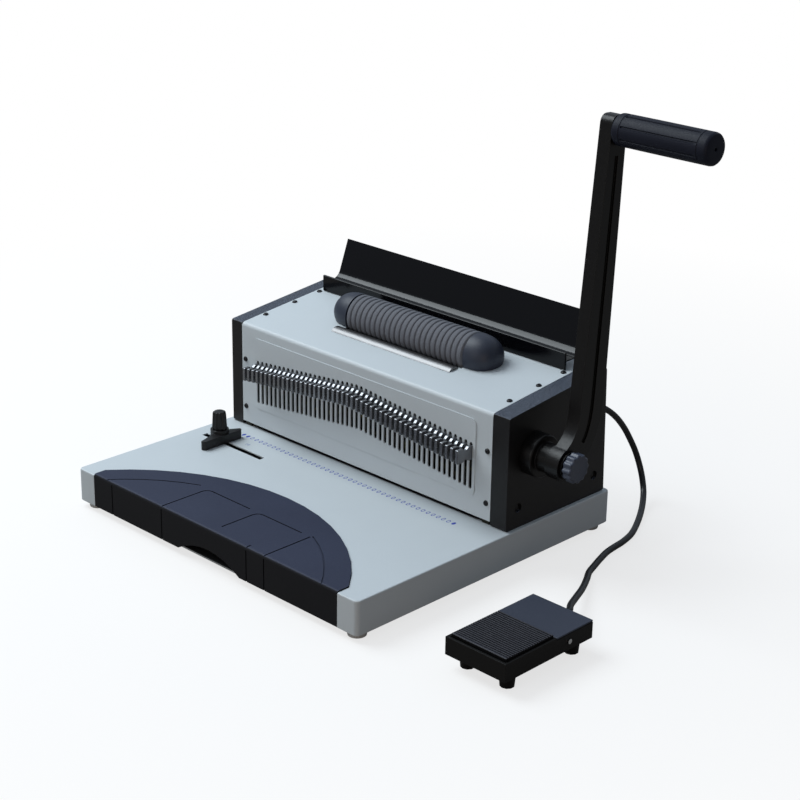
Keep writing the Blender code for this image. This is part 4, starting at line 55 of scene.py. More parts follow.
# %% Places on the machine
MIDDLE = Vector((0.06915, -0.0139, 0))
UP = Vector((0, 0, 1))
RIGHT = Vector((1, 0, 0))
BASE_TOP = 0.0388
ROOF_FRONT = BASE_TOP + 0.1082
ROOF_SLOPE = 0.11
ROOF_FACING = Vector((0, -ROOF_SLOPE, 1)).normalized()
SHAFT_Y = 0.033
SHAFT_Z = 0.1068
ROLLER_X = 0.0041
ROLLER_Y = 0.071
ROLLER_Z = 0.16261
GRIP_Y = 0.0788
GRIP_Z = 0.3974
PIN_PITCH = 0.00635
PIN_COUNT = 46
SEAT_GAP = 0.0003
HAIR = 0.0001


def roof(y):
    """The height of the sloping roof's upper face at a depth y."""
    return ROOF_FRONT + ROOF_SLOPE * y


def pin_x(number):
    """The place of one punch along the row, counted from 0 at the left."""
    return (number - (PIN_COUNT - 1) / 2) * PIN_PITCH


print("row of punches from", round(pin_x(0), 4), "to", round(pin_x(PIN_COUNT - 1), 4))

# %% [markdown]
# The camera comes first, because everything is judged through it. It stands in front of the
# machine's right corner, a little above, and a long lens keeps the edges nearly parallel.
# A small lens shift frames the lever and the pedal together without tilting the picture.


# %% Camera
def shown(name, data):
    """Puts a mesh, curve, camera or lamp into the scene as an object."""
    made = bpy.data.objects.new(name, data)
    bpy.context.scene.collection.objects.link(made)
    return made


CAMERA_PLACE = Vector((1.1662, -1.13667, 0.74866))
CAMERA_TURN = (69.5666, -0.7756, 44.8275)
LENS = 84.024
SENSOR = 36
SHIFT_ACROSS = 0.0048
SHIFT_UP = -0.03698

camera = shown("camera", bpy.data.cameras.new("camera"))
camera.location = CAMERA_PLACE - MIDDLE
camera.rotation_euler = [math.radians(turn) for turn in CAMERA_TURN]
camera.data.lens = LENS
camera.data.sensor_width = SENSOR
camera.data.shift_x = SHIFT_ACROSS
camera.data.shift_y = SHIFT_UP
camera.data.clip_start = 0.05
bpy.context.scene.camera = camera
bpy.context.scene.view_settings.view_transform = "Standard"
print("camera at", tuple(camera.location), "with a", LENS, "mm lens")

# %% [markdown]
# A finish is easier to read as a sum than as a picture of nodes. This small class holds one
# socket and lets Python's own signs add the Math nodes, so a mask can be written as 1 - edge.


# %% Sums of shader sockets
class Socket:
    """One output of a shader node, for use in sums."""

    def __init__(self, recipe, plug):
        self.recipe = recipe
        self.plug = plug

    def maths(self, operation, *others):
        values = enumerate((self, *others))
        return self.recipe.node("ShaderNodeMath", values, operation=operation)

    def __add__(self, other):
        return self.maths("ADD", other)

    __radd__ = __add__

    def __sub__(self, other):
        return self.maths("SUBTRACT", other)

    def __rsub__(self, other):
        return self.recipe.node("ShaderNodeMath", {0: other, 1: self}, operation="SUBTRACT")

    def __mul__(self, other):
        return self.maths("MULTIPLY", other)

    __rmul__ = __mul__

    def __truediv__(self, other):
        return self.maths("DIVIDE", other)

    def __gt__(self, other):
        return self.maths("GREATER_THAN", other)

    def __lt__(self, other):
        return self.maths("LESS_THAN", other)

    def __abs__(self):
        return self.maths("ABSOLUTE")

    def __pow__(self, other):
        return self.maths("POWER", other)


print("sums are ready")

# %% [markdown]
# A finish is one Principled surface and the nodes that feed it. Any node comes from one call
# that takes its type, its sockets and its settings. The other methods are the few patterns
# that this machine's finishes share: noise, a mask for faces that look up, and a colour, a
# roughness or a relief that follows a pattern.


# %% Finish recipes
class Recipe:
    """One finish: a Principled surface and the nodes that feed it."""

    def __init__(self, name, colour, roughness, metallic=0.0, specular=0.5):
        self.material = bpy.data.materials.new(name)
        self.material.use_nodes = True
        self.tree = self.material.node_tree
        self.surface = self.tree.nodes["Principled BSDF"]
        self.surface.inputs["Base Color"].default_value = (*colour, 1)
        self.surface.inputs["Roughness"].default_value = roughness
        self.surface.inputs["Metallic"].default_value = metallic
        self.surface.inputs["Specular IOR Level"].default_value = specular

    def node(self, kind, values=(), output=0, **settings):
        """Adds one node: its settings first, then the values or links of its sockets."""
        made = self.tree.nodes.new(kind)
        for key, value in settings.items():
            setattr(made, key, value)
        for key, value in dict(values).items():
            if isinstance(value, Socket):
                self.tree.links.new(value.plug, made.inputs[key])
            else:
                made.inputs[key].default_value = value
        return Socket(self, made.outputs[output]) if made.outputs else made

    def several(self, kind, names, values=()):
        """Adds one node and gives the outputs of these names."""
        made = self.node(kind, values).plug.node
        return [Socket(self, made.outputs[name]) for name in names]

    def feed(self, socket, value):
        self.tree.links.new(value.plug, self.surface.inputs[socket])

    def place(self):
        """Object coordinates, which are metres from the record's origin."""
        return self.node("ShaderNodeTexCoord", output="Object")

    def axes(self):
        """The three coordinates, shifted back to the machine's own drawing."""
        x, y, z = self.several("ShaderNodeSeparateXYZ", "XYZ", {0: self.place()})
        return x + MIDDLE.x, y + MIDDLE.y, z

    def noise(self, size, detail=2.0, stretch=(1, 1, 1)):
        """Soft random values between 0 and 1 whose grains are about size metres across."""
        along = self.node("ShaderNodeMapping", {"Vector": self.place(), "Scale": stretch})
        values = {"Vector": along, "Scale": 1 / size, "Detail": detail}
        return self.node("ShaderNodeTexNoise", values, "Fac")

    def between(self, value, low, high, start=0.0, end=1.0):
        """Goes from start to end as a value goes from low to high, and stays there."""
        sockets = ("Value", "From Min", "From Max", "To Min", "To Max")
        return self.node("ShaderNodeMapRange", zip(sockets, (value, low, high, start, end)))

    def upward(self):
        """A mask that is 1 on the faces that look up, where dust and skylight settle."""
        facing = self.node("ShaderNodeNewGeometry", output="Normal")
        lift = self.node("ShaderNodeSeparateXYZ", {0: facing}, "Z")
        return self.between(lift, 0.5, 0.9)

    def mix(self, mask, first, second):
        """A colour that goes from first to second as the mask goes from 0 to 1."""
        ends = [c if isinstance(c, Socket) else (*c, 1) for c in (first, second)]
        values = {"Factor": mask, 6: ends[0], 7: ends[1]}
        return self.node("ShaderNodeMix", values, 2, data_type="RGBA")

    def tint(self, mask, first, second):
        """Lets the base colour follow a mask."""
        self.feed("Base Color", self.mix(mask, first, second))

    def rough(self, pattern, low, high):
        """Lets the roughness wander from low to high with a pattern."""
        self.feed("Roughness", pattern * (high - low) + low)

    def bump(self, height, depth):
        """Sends a height pattern to the surface's normal, depth metres deep."""
        self.feed("Normal", self.node("ShaderNodeBump", {"Height": height, "Distance": depth}))


print("recipes are ready")

# %% [markdown]
# Most finishes here are one colour over a fine grain. What tells them apart is how shiny they
# are, how much that wanders, and how fine and deep their grain is, so one helper makes them.


# %% Grained finishes
def grained(name, colour, specular, rough, relief=None, metallic=0.0):
    """A finish whose roughness wanders and whose surface has a fine grain.

    rough is the wander's size in metres with its lowest and its highest roughness, and relief
    is the grain's size, its detail and its depth.
    """
    size, low, high = rough
    made = Recipe(name, colour, (low + high) / 2, metallic, specular)
    made.rough(made.noise(size), low, high)
    if relief:
        size, detail, depth = relief
        made.bump(made.noise(size, detail), depth)
    return made


print("grained finishes are ready")

# %% [markdown]
# The pedal's cord is a round black lead, 6 mm thick. It leaves the rear wall through a
# gland, falls to the table behind the machine, lies along it and enters the pedal's rear
# wall. It is seen nearly from end to end, so its length is the real one. A curve with rounded
# handles through the knots gives the same smooth route as the solid cord.

# %% Cord
CORD_RADIUS = 0.003
GLAND_MOUTH = Vector((0.152, 0.1590, 0.1038))
PEDAL_MOUTH = Vector((0.2949, -0.0470, 0.0185))
CORD_KNOTS = (
    (0.1525, 0.1755, 0.1000),
    (0.1547, 0.1897, 0.0890),
    (0.1563, 0.2028, 0.0740),
    (0.1587, 0.2121, 0.0580),
    (0.1619, 0.2170, 0.0450),
    (0.1663, 0.2190, 0.0310),
    (0.1723, 0.2162, 0.0200),
    (0.1799, 0.2088, 0.0110),
    (0.1918, 0.1917, 0.0055),
    (0.2060, 0.1674, 0.0034),
    (0.2185, 0.1420, 0.0032),
    (0.2238, 0.1222, 0.0032),
    (0.2254, 0.1085, 0.0032),
    (0.2275, 0.0942, 0.0032),
    (0.2319, 0.0794, 0.0032),
    (0.2375, 0.0633, 0.0032),
    (0.2426, 0.0500, 0.0033),
    (0.2514, 0.0357, 0.0043),
    (0.2634, 0.0148, 0.0070),
    (0.2764, -0.0101, 0.0120),
    (0.2862, -0.0285, 0.0158),
)

cord_black = grained(
    "cord_black", (0.006, 0.006, 0.008), 0.40, (0.004, 0.28, 0.44), (0.0007, 2.0, 0.00004)
)
ahead = Vector((0, CORD_RADIUS * 2, 0))
knots = [GLAND_MOUTH, GLAND_MOUTH + ahead]
knots += [Vector(knot) for knot in CORD_KNOTS]
knots += [PEDAL_MOUTH + ahead, PEDAL_MOUTH]
knots = [knot - MIDDLE for knot in knots]
ends = [2 * knots[0] - knots[1]] + knots + [2 * knots[-1] - knots[-2]]
lead = bpy.data.curves.new("pedal_lead", "CURVE")
lead.dimensions = "3D"
lead.bevel_depth = CORD_RADIUS
lead.bevel_resolution = 6
lead.resolution_u = 10
lead.use_fill_caps = True
run = lead.splines.new("BEZIER")
run.bezier_points.add(len(knots) - 1)
for point, before, here, after in zip(run.bezier_points, ends, knots, ends[2:]):
    point.co = here
    point.handle_left = here - (after - before) / 6
    point.handle_right = here + (after - before) / 6
lead.materials.append(cord_black.material)
pedal_lead = shown("pedal_lead", lead)
print("cord length", round(run.calc_length(), 4))
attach(pedal_lead, "base")
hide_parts("pedal_cord")

# %% [markdown]
# The floor is plain. The camera sees it white and polished metal sees a tenth of that, but it
# throws only a little warm light back up, so the machine's sides stay darker than its tops. Far
# from the machine the floor becomes a full white, and it meets the white sky without a line.
# Near it, the machine's own soft shadow stays.

# %% Floor
FLOOR_HALF = 6
FLOOR_Z = -0.0002
FLOOR_DIM = (0.185, 0.17, 0.155)
FLOOR_PALE = (0.95, 0.95, 0.95)
FULL_WHITE = (1, 1, 1, 1)
MIRROR_SHARE = 0.10
RAYS = ("Is Camera Ray", "Is Glossy Ray", "Is Transmission Ray")

floor_shape = bmesh.new()
bmesh.ops.create_grid(floor_shape, x_segments=1, y_segments=1, size=FLOOR_HALF)
floor_mesh = bpy.data.meshes.new("floor")
floor_shape.to_mesh(floor_mesh)
floor_shape.free()
floor = shown("floor", floor_mesh)
floor.location.z = FLOOR_Z
floor_white = Recipe("floor_white", FLOOR_DIM, 0.9)
watched, mirrored, through = floor_white.several("ShaderNodeLightPath", RAYS)
floor_white.tint(watched, FLOOR_DIM, FLOOR_PALE)
along, across, _up = floor_white.axes()
away = (along**2 + across**2) ** 0.5
clear = floor_white.between(away, 0.35, 1.0, 0.72, 1.0)
glow = floor_white.node("ShaderNodeEmission", {"Color": FULL_WHITE, "Strength": 1.0})
plain = Socket(floor_white, floor_white.surface.outputs["BSDF"])
share = watched * clear + (mirrored + through) * MIRROR_SHARE
both = floor_white.node("ShaderNodeMixShader", {0: share, 1: plain, 2: glow})
floor_end = floor_white.tree.nodes["Material Output"]
floor_white.tree.links.new(both.plug, floor_end.inputs["Surface"])
floor_mesh.materials.append(floor_white.material)
print("floor laid,", FLOOR_HALF, "metres to each side")

# %% [markdown]
# The sky is bright and a little blue above, to the left and behind, and dim near the ground
# and on the right, as in a room with one large window. The camera sees it white. Its nodes are
# written with the same sums as a finish's.


# %% Sky
class Sky(Recipe):
    """The world's own nodes, with the same sums as a finish."""

    def __init__(self, world):
        world.use_nodes = True
        self.tree = world.node_tree
        self.tree.nodes.clear()


SKY_BLUE = (0.76, 0.89, 1.05, 1)

world = bpy.data.worlds.new("sky")
bpy.context.scene.world = world
sky = Sky(world)
where = sky.node("ShaderNodeTexCoord", output="Generated")
east, north, height = sky.several("ShaderNodeSeparateXYZ", "XYZ", {0: where})
rise = sky.between(height, 0.0, 0.55, 0.10, 0.36)
strength = rise * (1 - east * 0.45 + north * 0.5)
around = sky.node("ShaderNodeBackground", {"Color": SKY_BLUE, "Strength": strength})
white = sky.node("ShaderNodeBackground", {"Color": FULL_WHITE, "Strength": 1.0})
looked, mirrored, through = sky.several("ShaderNodeLightPath", RAYS)
share = looked + mirrored * 0.12 + through
pick = sky.node("ShaderNodeMixShader", {0: share, 1: around, 2: white})
sky.node("ShaderNodeOutputWorld", {"Surface": pick})
print("sky set")

# %% [markdown]
# Three soft lamps help the sky. The largest stands high on the left, as a window would, and
# draws the bright lines along every bend. The second fills the fronts a little. The third is
# low and warm on the front right, where a wooden floor would throw some light back.


# %% Lamps
def lamp(name, place, aim, size, power, colour):
    """A soft square lamp that faces a point."""
    made = shown(name, bpy.data.lights.new(name, "AREA"))
    made.location = place
    made.rotation_euler = (Vector(aim) - Vector(place)).to_track_quat("-Z", "Y").to_euler()
    made.data.size = size
    made.data.energy = power
    made.data.color = colour


lamp("window", (-1.3, -0.5, 1.9), (0, 0, 0.1), 1.5, 46, (0.875, 0.955, 1.0))
lamp("front_fill", (-0.4, -2.4, 0.9), (0, 0, 0.12), 1.4, 7, (1.0, 0.985, 0.965))
lamp("floor_glow", (1.3, -1.3, 0.2), (0, 0, 0.05), 1.0, 4.5, (1.0, 0.80, 0.64))
print("lamps set")

# %% [markdown]
# The finishes come next. Powder coat has a fine grain that breaks up its shine. The base's
# paint also carries a printed scale of small ovals, one for each hole that is punched. It is a
# mask made from the distance to the nearest oval's middle. The ovals of the three plates that
# pull out, the first two and the last, are filled in. The cover's paint is near black behind
# its front face and below the fold, as painted shade inside its slots.


# %% Paint and print
def powder_coat(name):
    """The pale powder coat, with its colour apart, so that a mask can be laid on it."""
    made = grained(
        name, (0.55, 0.595, 0.615), 0.40, (0.0015, 0.38, 0.56), (0.0009, 3.0, 0.00003)
    )
    shade = made.noise(0.03) * 0.5 + made.noise(0.0012) * 0.5
    return made, made.mix(shade, (0.55, 0.59, 0.615), (0.59, 0.635, 0.66))


SHEET_SKIN = 0.0004
FOLD_LOW = 0.135

cover_paint, bare = powder_coat("cover_paint")
_x, y, z = cover_paint.axes()
# painted shade: the slot walls and the sheet's back, deeper than its skin and below the fold, are
# near black
inside = (y > SHEET_SKIN) * (z < FOLD_LOW)
cover_paint.tint(inside, bare, (0.010, 0.010, 0.011))

SCALE_START = -0.1447
SCALE_Y = -0.0187
OVAL_WIDE = 0.0014
OVAL_LONG = 0.0022
OVAL_LINE = 0.24

base_paint, bare = powder_coat("base_paint")
x, y, z = base_paint.axes()
step = (x - SCALE_START) / PIN_PITCH + 0.5
number = step.maths("FLOOR")
aside = (step.maths("FRACT") - 0.5) * PIN_PITCH
reach = ((aside / OVAL_WIDE) ** 2 + ((y - SCALE_Y) / OVAL_LONG) ** 2) ** 0.5
in_row = (number > -0.5) * (number < PIN_COUNT - 0.5) * (z > BASE_TOP - 0.0005)
filled = (number < 1.5) + (number > PIN_COUNT - 1.5)
ring = abs(reach - 1) < OVAL_LINE
ink = in_row * (ring * 0.95 + (reach < 1.15) * filled)
base_paint.tint(ink, bare, (0.008, 0.035, 0.38))

ink_blue = grained("ink_blue", (0.10, 0.16, 0.42), 0.5, (0.0015, 0.42, 0.60))
print("paint mixed")

# %% [markdown]
# Two finishes change where they look up. The side panels have a coarser black powder coat with
# pale dust lying in it and a painted bluish sheen of skylight on their tops, and the armrest's
# plastic has a painted bluish sky reflection on top and is near black in front.

# %% Black coat and armrest
panel_black = Recipe("panel_black", (0.006, 0.0055, 0.0055), 0.42, specular=0.28)
grain = panel_black.noise(0.0007, 3.0)
side_tone = panel_black.mix(grain, (0.004, 0.0036, 0.0036), (0.011, 0.010, 0.0105))
dusty = panel_black.between(panel_black.noise(0.0009, 3.0), 0.4, 0.65)
# the tops get pale dust specks and a painted bluish sheen of skylight, and the sides stay plain
# black
dust_and_sky_sheen = panel_black.mix(dusty, (0.014, 0.017, 0.024), (0.110, 0.130, 0.175))
panel_black.tint(panel_black.upward(), side_tone, dust_and_sky_sheen)
panel_black.rough(grain, 0.22, 0.57)
panel_black.bump(grain, 0.00022)

armrest_grey = grained(
    "armrest_grey", (0.015, 0.018, 0.035), 0.20, (0.0009, 0.48, 0.68), (0.0006, 3.0, 0.00004)
)
cloudy = armrest_grey.noise(0.05) * 0.6 + armrest_grey.noise(0.0008) * 0.4
side_tone = armrest_grey.mix(cloudy, (0.0042, 0.0042, 0.0058), (0.0070, 0.0070, 0.0090))
# painted sky reflection: the armrest's tops are painted a lighter blue than its sides
painted_sky_sheen = armrest_grey.mix(cloudy, (0.0200, 0.0250, 0.0490), (0.0330, 0.0400, 0.0740))
armrest_grey.tint(armrest_grey.upward(), side_tone, painted_sky_sheen)
print("black coat and armrest mixed")

# %% [markdown]
# Enamel is shiny, moulded plastic is duller, and rubber is duller still. Each row of this table
# is one finish: its colour, its specular level, its roughness and its relief.

# %% Enamel, plastic and rubber
PLAIN_FINISHES = {
    "gloss_black": ((0.0022, 0.0022, 0.0032), 0.26, (0.006, 0.08, 0.16), (0.0020, 2.0, 0.00004)),
    "arm_enamel": ((0.0035, 0.0030, 0.0030), 0.25, (0.002, 0.24, 0.44), (0.0011, 3.0, 0.00006)),
    "black_plastic": ((0.006, 0.006, 0.0065), 0.35, (0.001, 0.34, 0.54), (0.0007, 2.0, 0.00003)),
    "cap_blue": ((0.021, 0.026, 0.043), 0.40, (0.001, 0.36, 0.56), (0.0007, 2.0, 0.00004)),
    "knob_grey": ((0.050, 0.060, 0.090), 0.45, (0.001, 0.30, 0.50), (0.0008, 2.0, 0.00004)),
    "grip_black": ((0.0045, 0.0060, 0.0150), 0.20, (0.0012, 0.42, 0.67), (0.0006, 2.0, 0.00005)),
    "foot_rubber": ((0.50, 0.50, 0.49), 0.50, (0.002, 0.60, 0.80), (0.0008, 2.0, 0.00005)),
    "pedal_black": ((0.0038, 0.0033, 0.0030), 0.16, (0.0012, 0.34, 0.59), (0.0008, 2.0, 0.00005)),
}
shelf = {name: grained(name, *row) for name, row in PLAIN_FINISHES.items()}
gloss_black, arm_enamel, black_plastic, pedal_black = (
    shelf[name] for name in ("gloss_black", "arm_enamel", "black_plastic", "pedal_black")
)

sleeve_grey = Recipe("sleeve_grey", (0.130, 0.130, 0.135), 0.78, specular=0.30)
mottle = sleeve_grey.noise(0.0011, 3.0)
sleeve_grey.tint(mottle, (0.100, 0.103, 0.118), (0.156, 0.160, 0.180))
sleeve_grey.bump(mottle, 0.00006)

belt_rubber = Recipe("belt_rubber", (0.010, 0.010, 0.011), 0.70)
belt_rubber.bump(belt_rubber.noise(0.0006), 0.00005)
print("enamel, plastic and rubber mixed")

# %% [markdown]
# Bare metal reflects nearly everything, so most of its look lies in how its roughness wanders.
# Brushed and drawn metal stretch their noise along the work. The frames are zinc plated, and
# the oiled ram has a few olive glints painted into its colour.

# %% Metal
DRAWN_UP = (1, 1, 8)
BRUSHED_ALONG = (0.05, 1, 1)

chrome = grained(
    "chrome", (0.62, 0.63, 0.64), 0.5, (0.0018, 0.10, 0.26), (0.0025, 2.0, 0.00003), metallic=1.0
)
bronze = grained("bronze", (0.62, 0.42, 0.18), 0.5, (0.0012, 0.26, 0.46), metallic=1.0)
screw_black = grained("screw_black", (0.016, 0.016, 0.018), 0.5, (0.0008, 0.24, 0.49), metallic=0.5)

steel = Recipe("steel", (0.50, 0.51, 0.52), 0.34, 1.0)
steel.rough(steel.noise(0.0009, 2.0, DRAWN_UP), 0.25, 0.50)
steel.bump(steel.noise(0.0007, 2.0, DRAWN_UP), 0.00003)

plate_nickel = Recipe("plate_nickel", (0.17, 0.175, 0.19), 0.20, 0.75)
worn = plate_nickel.noise(0.0016, 3.0)
plate_nickel.tint(worn, (0.15, 0.155, 0.17), (0.30, 0.305, 0.32))
plate_nickel.rough(worn, 0.12, 0.34)
plate_nickel.bump(worn, 0.00005)

frame_zinc = Recipe("frame_zinc", (0.06, 0.055, 0.03), 0.46, 1.0)
spangle = frame_zinc.noise(0.007, 3.0)
frame_zinc.tint(spangle, (0.018, 0.018, 0.014), (0.060, 0.058, 0.045))
frame_zinc.rough(spangle, 0.3, 0.6)

strip_metal = Recipe("strip_metal", (0.17, 0.17, 0.175), 0.30, 1.0)
brushed = strip_metal.noise(0.0006, 3.0, BRUSHED_ALONG)
strip_metal.tint(brushed, (0.13, 0.128, 0.13), (0.22, 0.218, 0.22))
strip_metal.rough(brushed, 0.28, 0.48)

ram_oiled = grained("ram_oiled", (0.008, 0.008, 0.006), 0.25, (0.002, 0.35, 0.65))
# painted glints: a few olive spots of reflected light on the near-black oiled steel
painted_glint = ram_oiled.between(ram_oiled.noise(0.010, 3.0), 0.56, 0.68)
ram_oiled.tint(painted_glint, (0.004, 0.004, 0.003), (0.16, 0.15, 0.06))
print("metal mixed")

# %% [markdown]
# The pedal's box is plain black. Its cover has a speckled slate coat, and its plate is black
# with ribs whose crests are painted grey, as scuffs and as a painted highlight, and whose
# lower parts are painted near black as shade.

# %% Pedal finishes
TREAD_LEVEL = 0.0302

pedal_slate = grained(
    "pedal_slate", (0.027, 0.033, 0.052), 0.40, (0.0009, 0.42, 0.62), (0.0006, 3.0, 0.00006)
)
salted = pedal_slate.noise(0.0006, 3.0)
pedal_slate.tint(salted, (0.024, 0.029, 0.047), (0.043, 0.051, 0.078))

tread_black = grained("tread_black", (0.010, 0.010, 0.013), 0.25, (0.0012, 0.40, 0.60))
_x, _y, z = tread_black.axes()
crest = tread_black.between(z, TREAD_LEVEL + 0.0003, TREAD_LEVEL + 0.0010)
# the rib crests are painted grey, partly as scuffs and partly as a painted highlight, and all below
# them is painted near black as shade in the grooves
scuffs_and_crest_light = crest * (tread_black.noise(0.004) * 0.5 + 0.6)
tread_black.tint(scuffs_and_crest_light, (0.0008, 0.0008, 0.0012), (0.024, 0.025, 0.038))
print("finishes on the shelf:", len([m for m in bpy.data.materials if m.use_nodes]))

# %% [markdown]
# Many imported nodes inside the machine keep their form, and only get a finish, because their own
# is one flat colour. Most of them are bare steel, and these are the others.

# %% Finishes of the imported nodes
FINISHED_ALIKE = (
    (black_plastic, ("chip_drawer",)),
    (bronze, ("left_roller_bush", "right_roller_bush", "left_shaft_bush", "right_shaft_bush")),
    (belt_rubber, ("drive_belt",)),
    (screw_black, ("punch_guide", "stop_rail")),
    (chrome, ("lever_shaft", "pedal_pin")),
    (frame_zinc, ("left_side_frame", "right_side_frame")),
    (pedal_black, ("pedal_switch",)),
)
node_finishes = {name: recipe for recipe, names in FINISHED_ALIKE for name in names}
for name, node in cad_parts.items():
    node.data.materials.clear()
    node.data.materials.append(node_finishes.get(name, steel).material)
print("nodes finished:", len(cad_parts))

# %% [markdown]
# Small helpers turn a bmesh into a finished piece. A piece is drawn in the machine's own
# places, and its mesh is then shifted to the record's origin, so its object stays at zero.
# A Weighted Normal modifier keeps the light even on the large flat faces beside narrow
# roundings.


# %% Making pieces
def piece(name, shape, body, recipe, replaces=(), smooth=35):
    """Turns a bmesh into a finished object that rides on a body."""
    bmesh.ops.translate(shape, vec=-MIDDLE, verts=shape.verts)
    mesh = bpy.data.meshes.new(name)
    shape.to_mesh(mesh)
    shape.free()
    mesh.materials.append(recipe.material)
    mesh.shade_smooth()
    mesh.set_sharp_from_angle(angle=math.radians(smooth))
    made = shown(name, mesh)
    even = made.modifiers.new("even_light", "WEIGHTED_NORMAL")
    even.keep_sharp = True
    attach(made, body)
    if replaces:
        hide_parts(*replaces)
    print(name, len(mesh.polygons), "faces")
    return made


print("pieces can be made")

# %% [markdown]
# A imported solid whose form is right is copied: its loose triangles are merged, its flat faces
# are joined up again and its sharp edges are rounded, as the real edges are.


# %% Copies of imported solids
MERGE_GAP = 0.000005
FLAT_TURN = 0.5


def copied(node):
    """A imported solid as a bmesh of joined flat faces, in the machine's own places."""
    shape = bmesh.new()
    shape.from_mesh(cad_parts[node].data)
    bmesh.ops.remove_doubles(shape, verts=shape.verts, dist=MERGE_GAP)
    flat = math.radians(FLAT_TURN)
    bmesh.ops.dissolve_limit(shape, angle_limit=flat, verts=shape.verts, edges=shape.edges)
    bmesh.ops.translate(shape, vec=MIDDLE, verts=shape.verts)
    return shape


def bevelled(shape, parts, width, segments, affect="EDGES"):
    """Bevels some edges or corners of a shape to a round."""
    bmesh.ops.bevel(
        shape,
        geom=parts,
        offset=width,
        offset_type="OFFSET",
        affect=affect,
        segments=segments,
        profile=0.5,
        material=-1,
        clamp_overlap=True,
    )


def rounded(shape, width, angle=40, segments=2):
    """Rounds the edges whose faces turn by more than an angle, in degrees."""
    limit = math.radians(angle)
    sharp = [e for e in shape.edges if e.is_manifold and e.calc_face_angle(0) > limit]
    bevelled(shape, sharp, width, segments)
    return shape


def eased(name, node, body, recipe, width, angle=40, segments=2, smooth=35):
    """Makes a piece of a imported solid's copy with its edges rounded."""
    shape = rounded(copied(node), width, angle, segments)
    return piece(name, shape, body, recipe, [node], smooth)


print("solids can be copied")

# %% [markdown]
# The base is one steel tray, folded down at its sides. Its packed form is right, so a copy
# only needs its sharp edges rounded a little, which is what catches the light on real paint.
# The armrest is moulded, with grooves where its parts meet.

# %% Base and armrest
eased("base_shell", "base_tray", "base", base_paint, width=0.0005)
eased("arm_pad", "armrest", "base", armrest_grey, width=0.0004, angle=30)

# %% [markdown]
# A small number is printed behind the stop's slot. Text starts as a curve, so it is made a mesh
# and laid a hair above the paint before it becomes a piece.

# %% Printed number
NUMBER_SIZE = 0.0055
NUMBER_PLACE = (-0.1233, -0.0328, BASE_TOP + 0.00006)

lettering = bpy.data.curves.new("scale_number", "FONT")
lettering.body = "14"
lettering.size = NUMBER_SIZE
lettering.align_x = "CENTER"
lettering.align_y = "CENTER"
typed = shown("typed", lettering)
flat = bmesh.new()
spare = bpy.data.meshes.new_from_object(typed)
flat.from_mesh(spare)
bpy.data.meshes.remove(spare)
bpy.data.objects.remove(typed)
bpy.data.curves.remove(lettering)
bmesh.ops.translate(flat, vec=NUMBER_PLACE, verts=flat.verts)
piece("scale_number", flat, "base", ink_blue)

# %% [markdown]
# A round piece is drawn as half of its outline, spun upright about the Z axis, then leaned onto
# its own axis and moved to its place. A full spin meets its own start, so the seam is merged.


# %% Spun shapes
SEAM_GAP = 0.000001


def stood(shape, place, axis):
    """Leans an upright shape onto an axis and moves it to its place."""
    lean = UP.rotation_difference(axis).to_matrix().to_4x4()
    bmesh.ops.transform(shape, matrix=Matrix.Translation(place) @ lean, verts=shape.verts)
    return shape


def turned(profile, place, axis=UP, steps=64, hollow=False):
    """Spins a profile of (radius, distance) points about an axis through a place.

    A hollow piece's profile goes all round its section, back to the first point.
    """
    if hollow:
        profile = [*profile, profile[0]]
    shape = bmesh.new()
    points = [shape.verts.new((0, radius, along)) for radius, along in profile]
    edges = [shape.edges.new(pair) for pair in zip(points, points[1:])]
    bmesh.ops.spin(
        shape,
        geom=points + edges,
        cent=(0, 0, 0),
        axis=UP,
        angle=math.tau,
        steps=steps,
        use_merge=True,
    )
    bmesh.ops.remove_doubles(shape, verts=shape.verts, dist=SEAM_GAP)
    bmesh.ops.recalc_face_normals(shape, faces=shape.faces)
    return stood(shape, place, axis)


print("shapes can be spun")

# %% [markdown]
# A foot is a rubber button with a sunk hole for its screw. It is round, so it is a profile
# spun about its own axis.

# %% Feet
FOOT_TOP = 0.0064
FOOT_OUTLINE = (
    (0.0, 0.0030),
    (0.0035, 0.0030),
    (0.0035, 0.0004),
    (0.0039, 0.0),
    (0.0076, 0.0),
    (0.0082, 0.0004),
    (0.0091, 0.0058),
    (0.0093, 0.0062),
    (0.0088, FOOT_TOP),
    (0.0, FOOT_TOP),
)
FOOT_X = 0.1778
FOOT_ROWS = (("front", -0.174), ("rear", 0.1295))
for row, y in FOOT_ROWS:
    for side, x in (("left", -FOOT_X), ("right", FOOT_X)):
        button = turned(FOOT_OUTLINE, (x, y, 0), steps=40)
        name, node = f"{row}_{side}_button", f"{row}_{side}_foot"
        piece(name, button, "base", shelf["foot_rubber"], [node])

# %% [markdown]
# A screw is a low dome with a cross sunk in its crown. Sixteen wedges make the dome, and
# every fourth wedge near the middle is pushed in, which leaves the four arms of the cross.

# %% Screw heads
WEDGES = 16
HEAD_RADIUS = 0.0027
HEAD_RISE = 0.0015
CROSS_HUB = HEAD_RADIUS * 0.24
CROSS_REACH = HEAD_RADIUS * 0.6
CROSS_DEPTH = HEAD_RISE * 0.55
HEAD_OUTLINE = (
    (0.0, -0.0003),
    (HEAD_RADIUS, -0.0003),
    (HEAD_RADIUS, HEAD_RISE * 0.35),
    (HEAD_RADIUS * 0.86, HEAD_RISE * 0.75),
    (HEAD_RADIUS * 0.62, HEAD_RISE),
    (CROSS_HUB, HEAD_RISE * 1.04),
    (0.0, HEAD_RISE * 1.04),
)
SCREW_X = 0.162
FRONT_SCREWS = (0.021, 0.071)
ROOF_SCREWS = (0.027, 0.066, 0.100)
FRONT_FACING = Vector((0, -1, 0))


def new_points(grown):
    """The points among what an extrude operator gives back."""
    return [part for part in grown["geom"] if isinstance(part, bmesh.types.BMVert)]


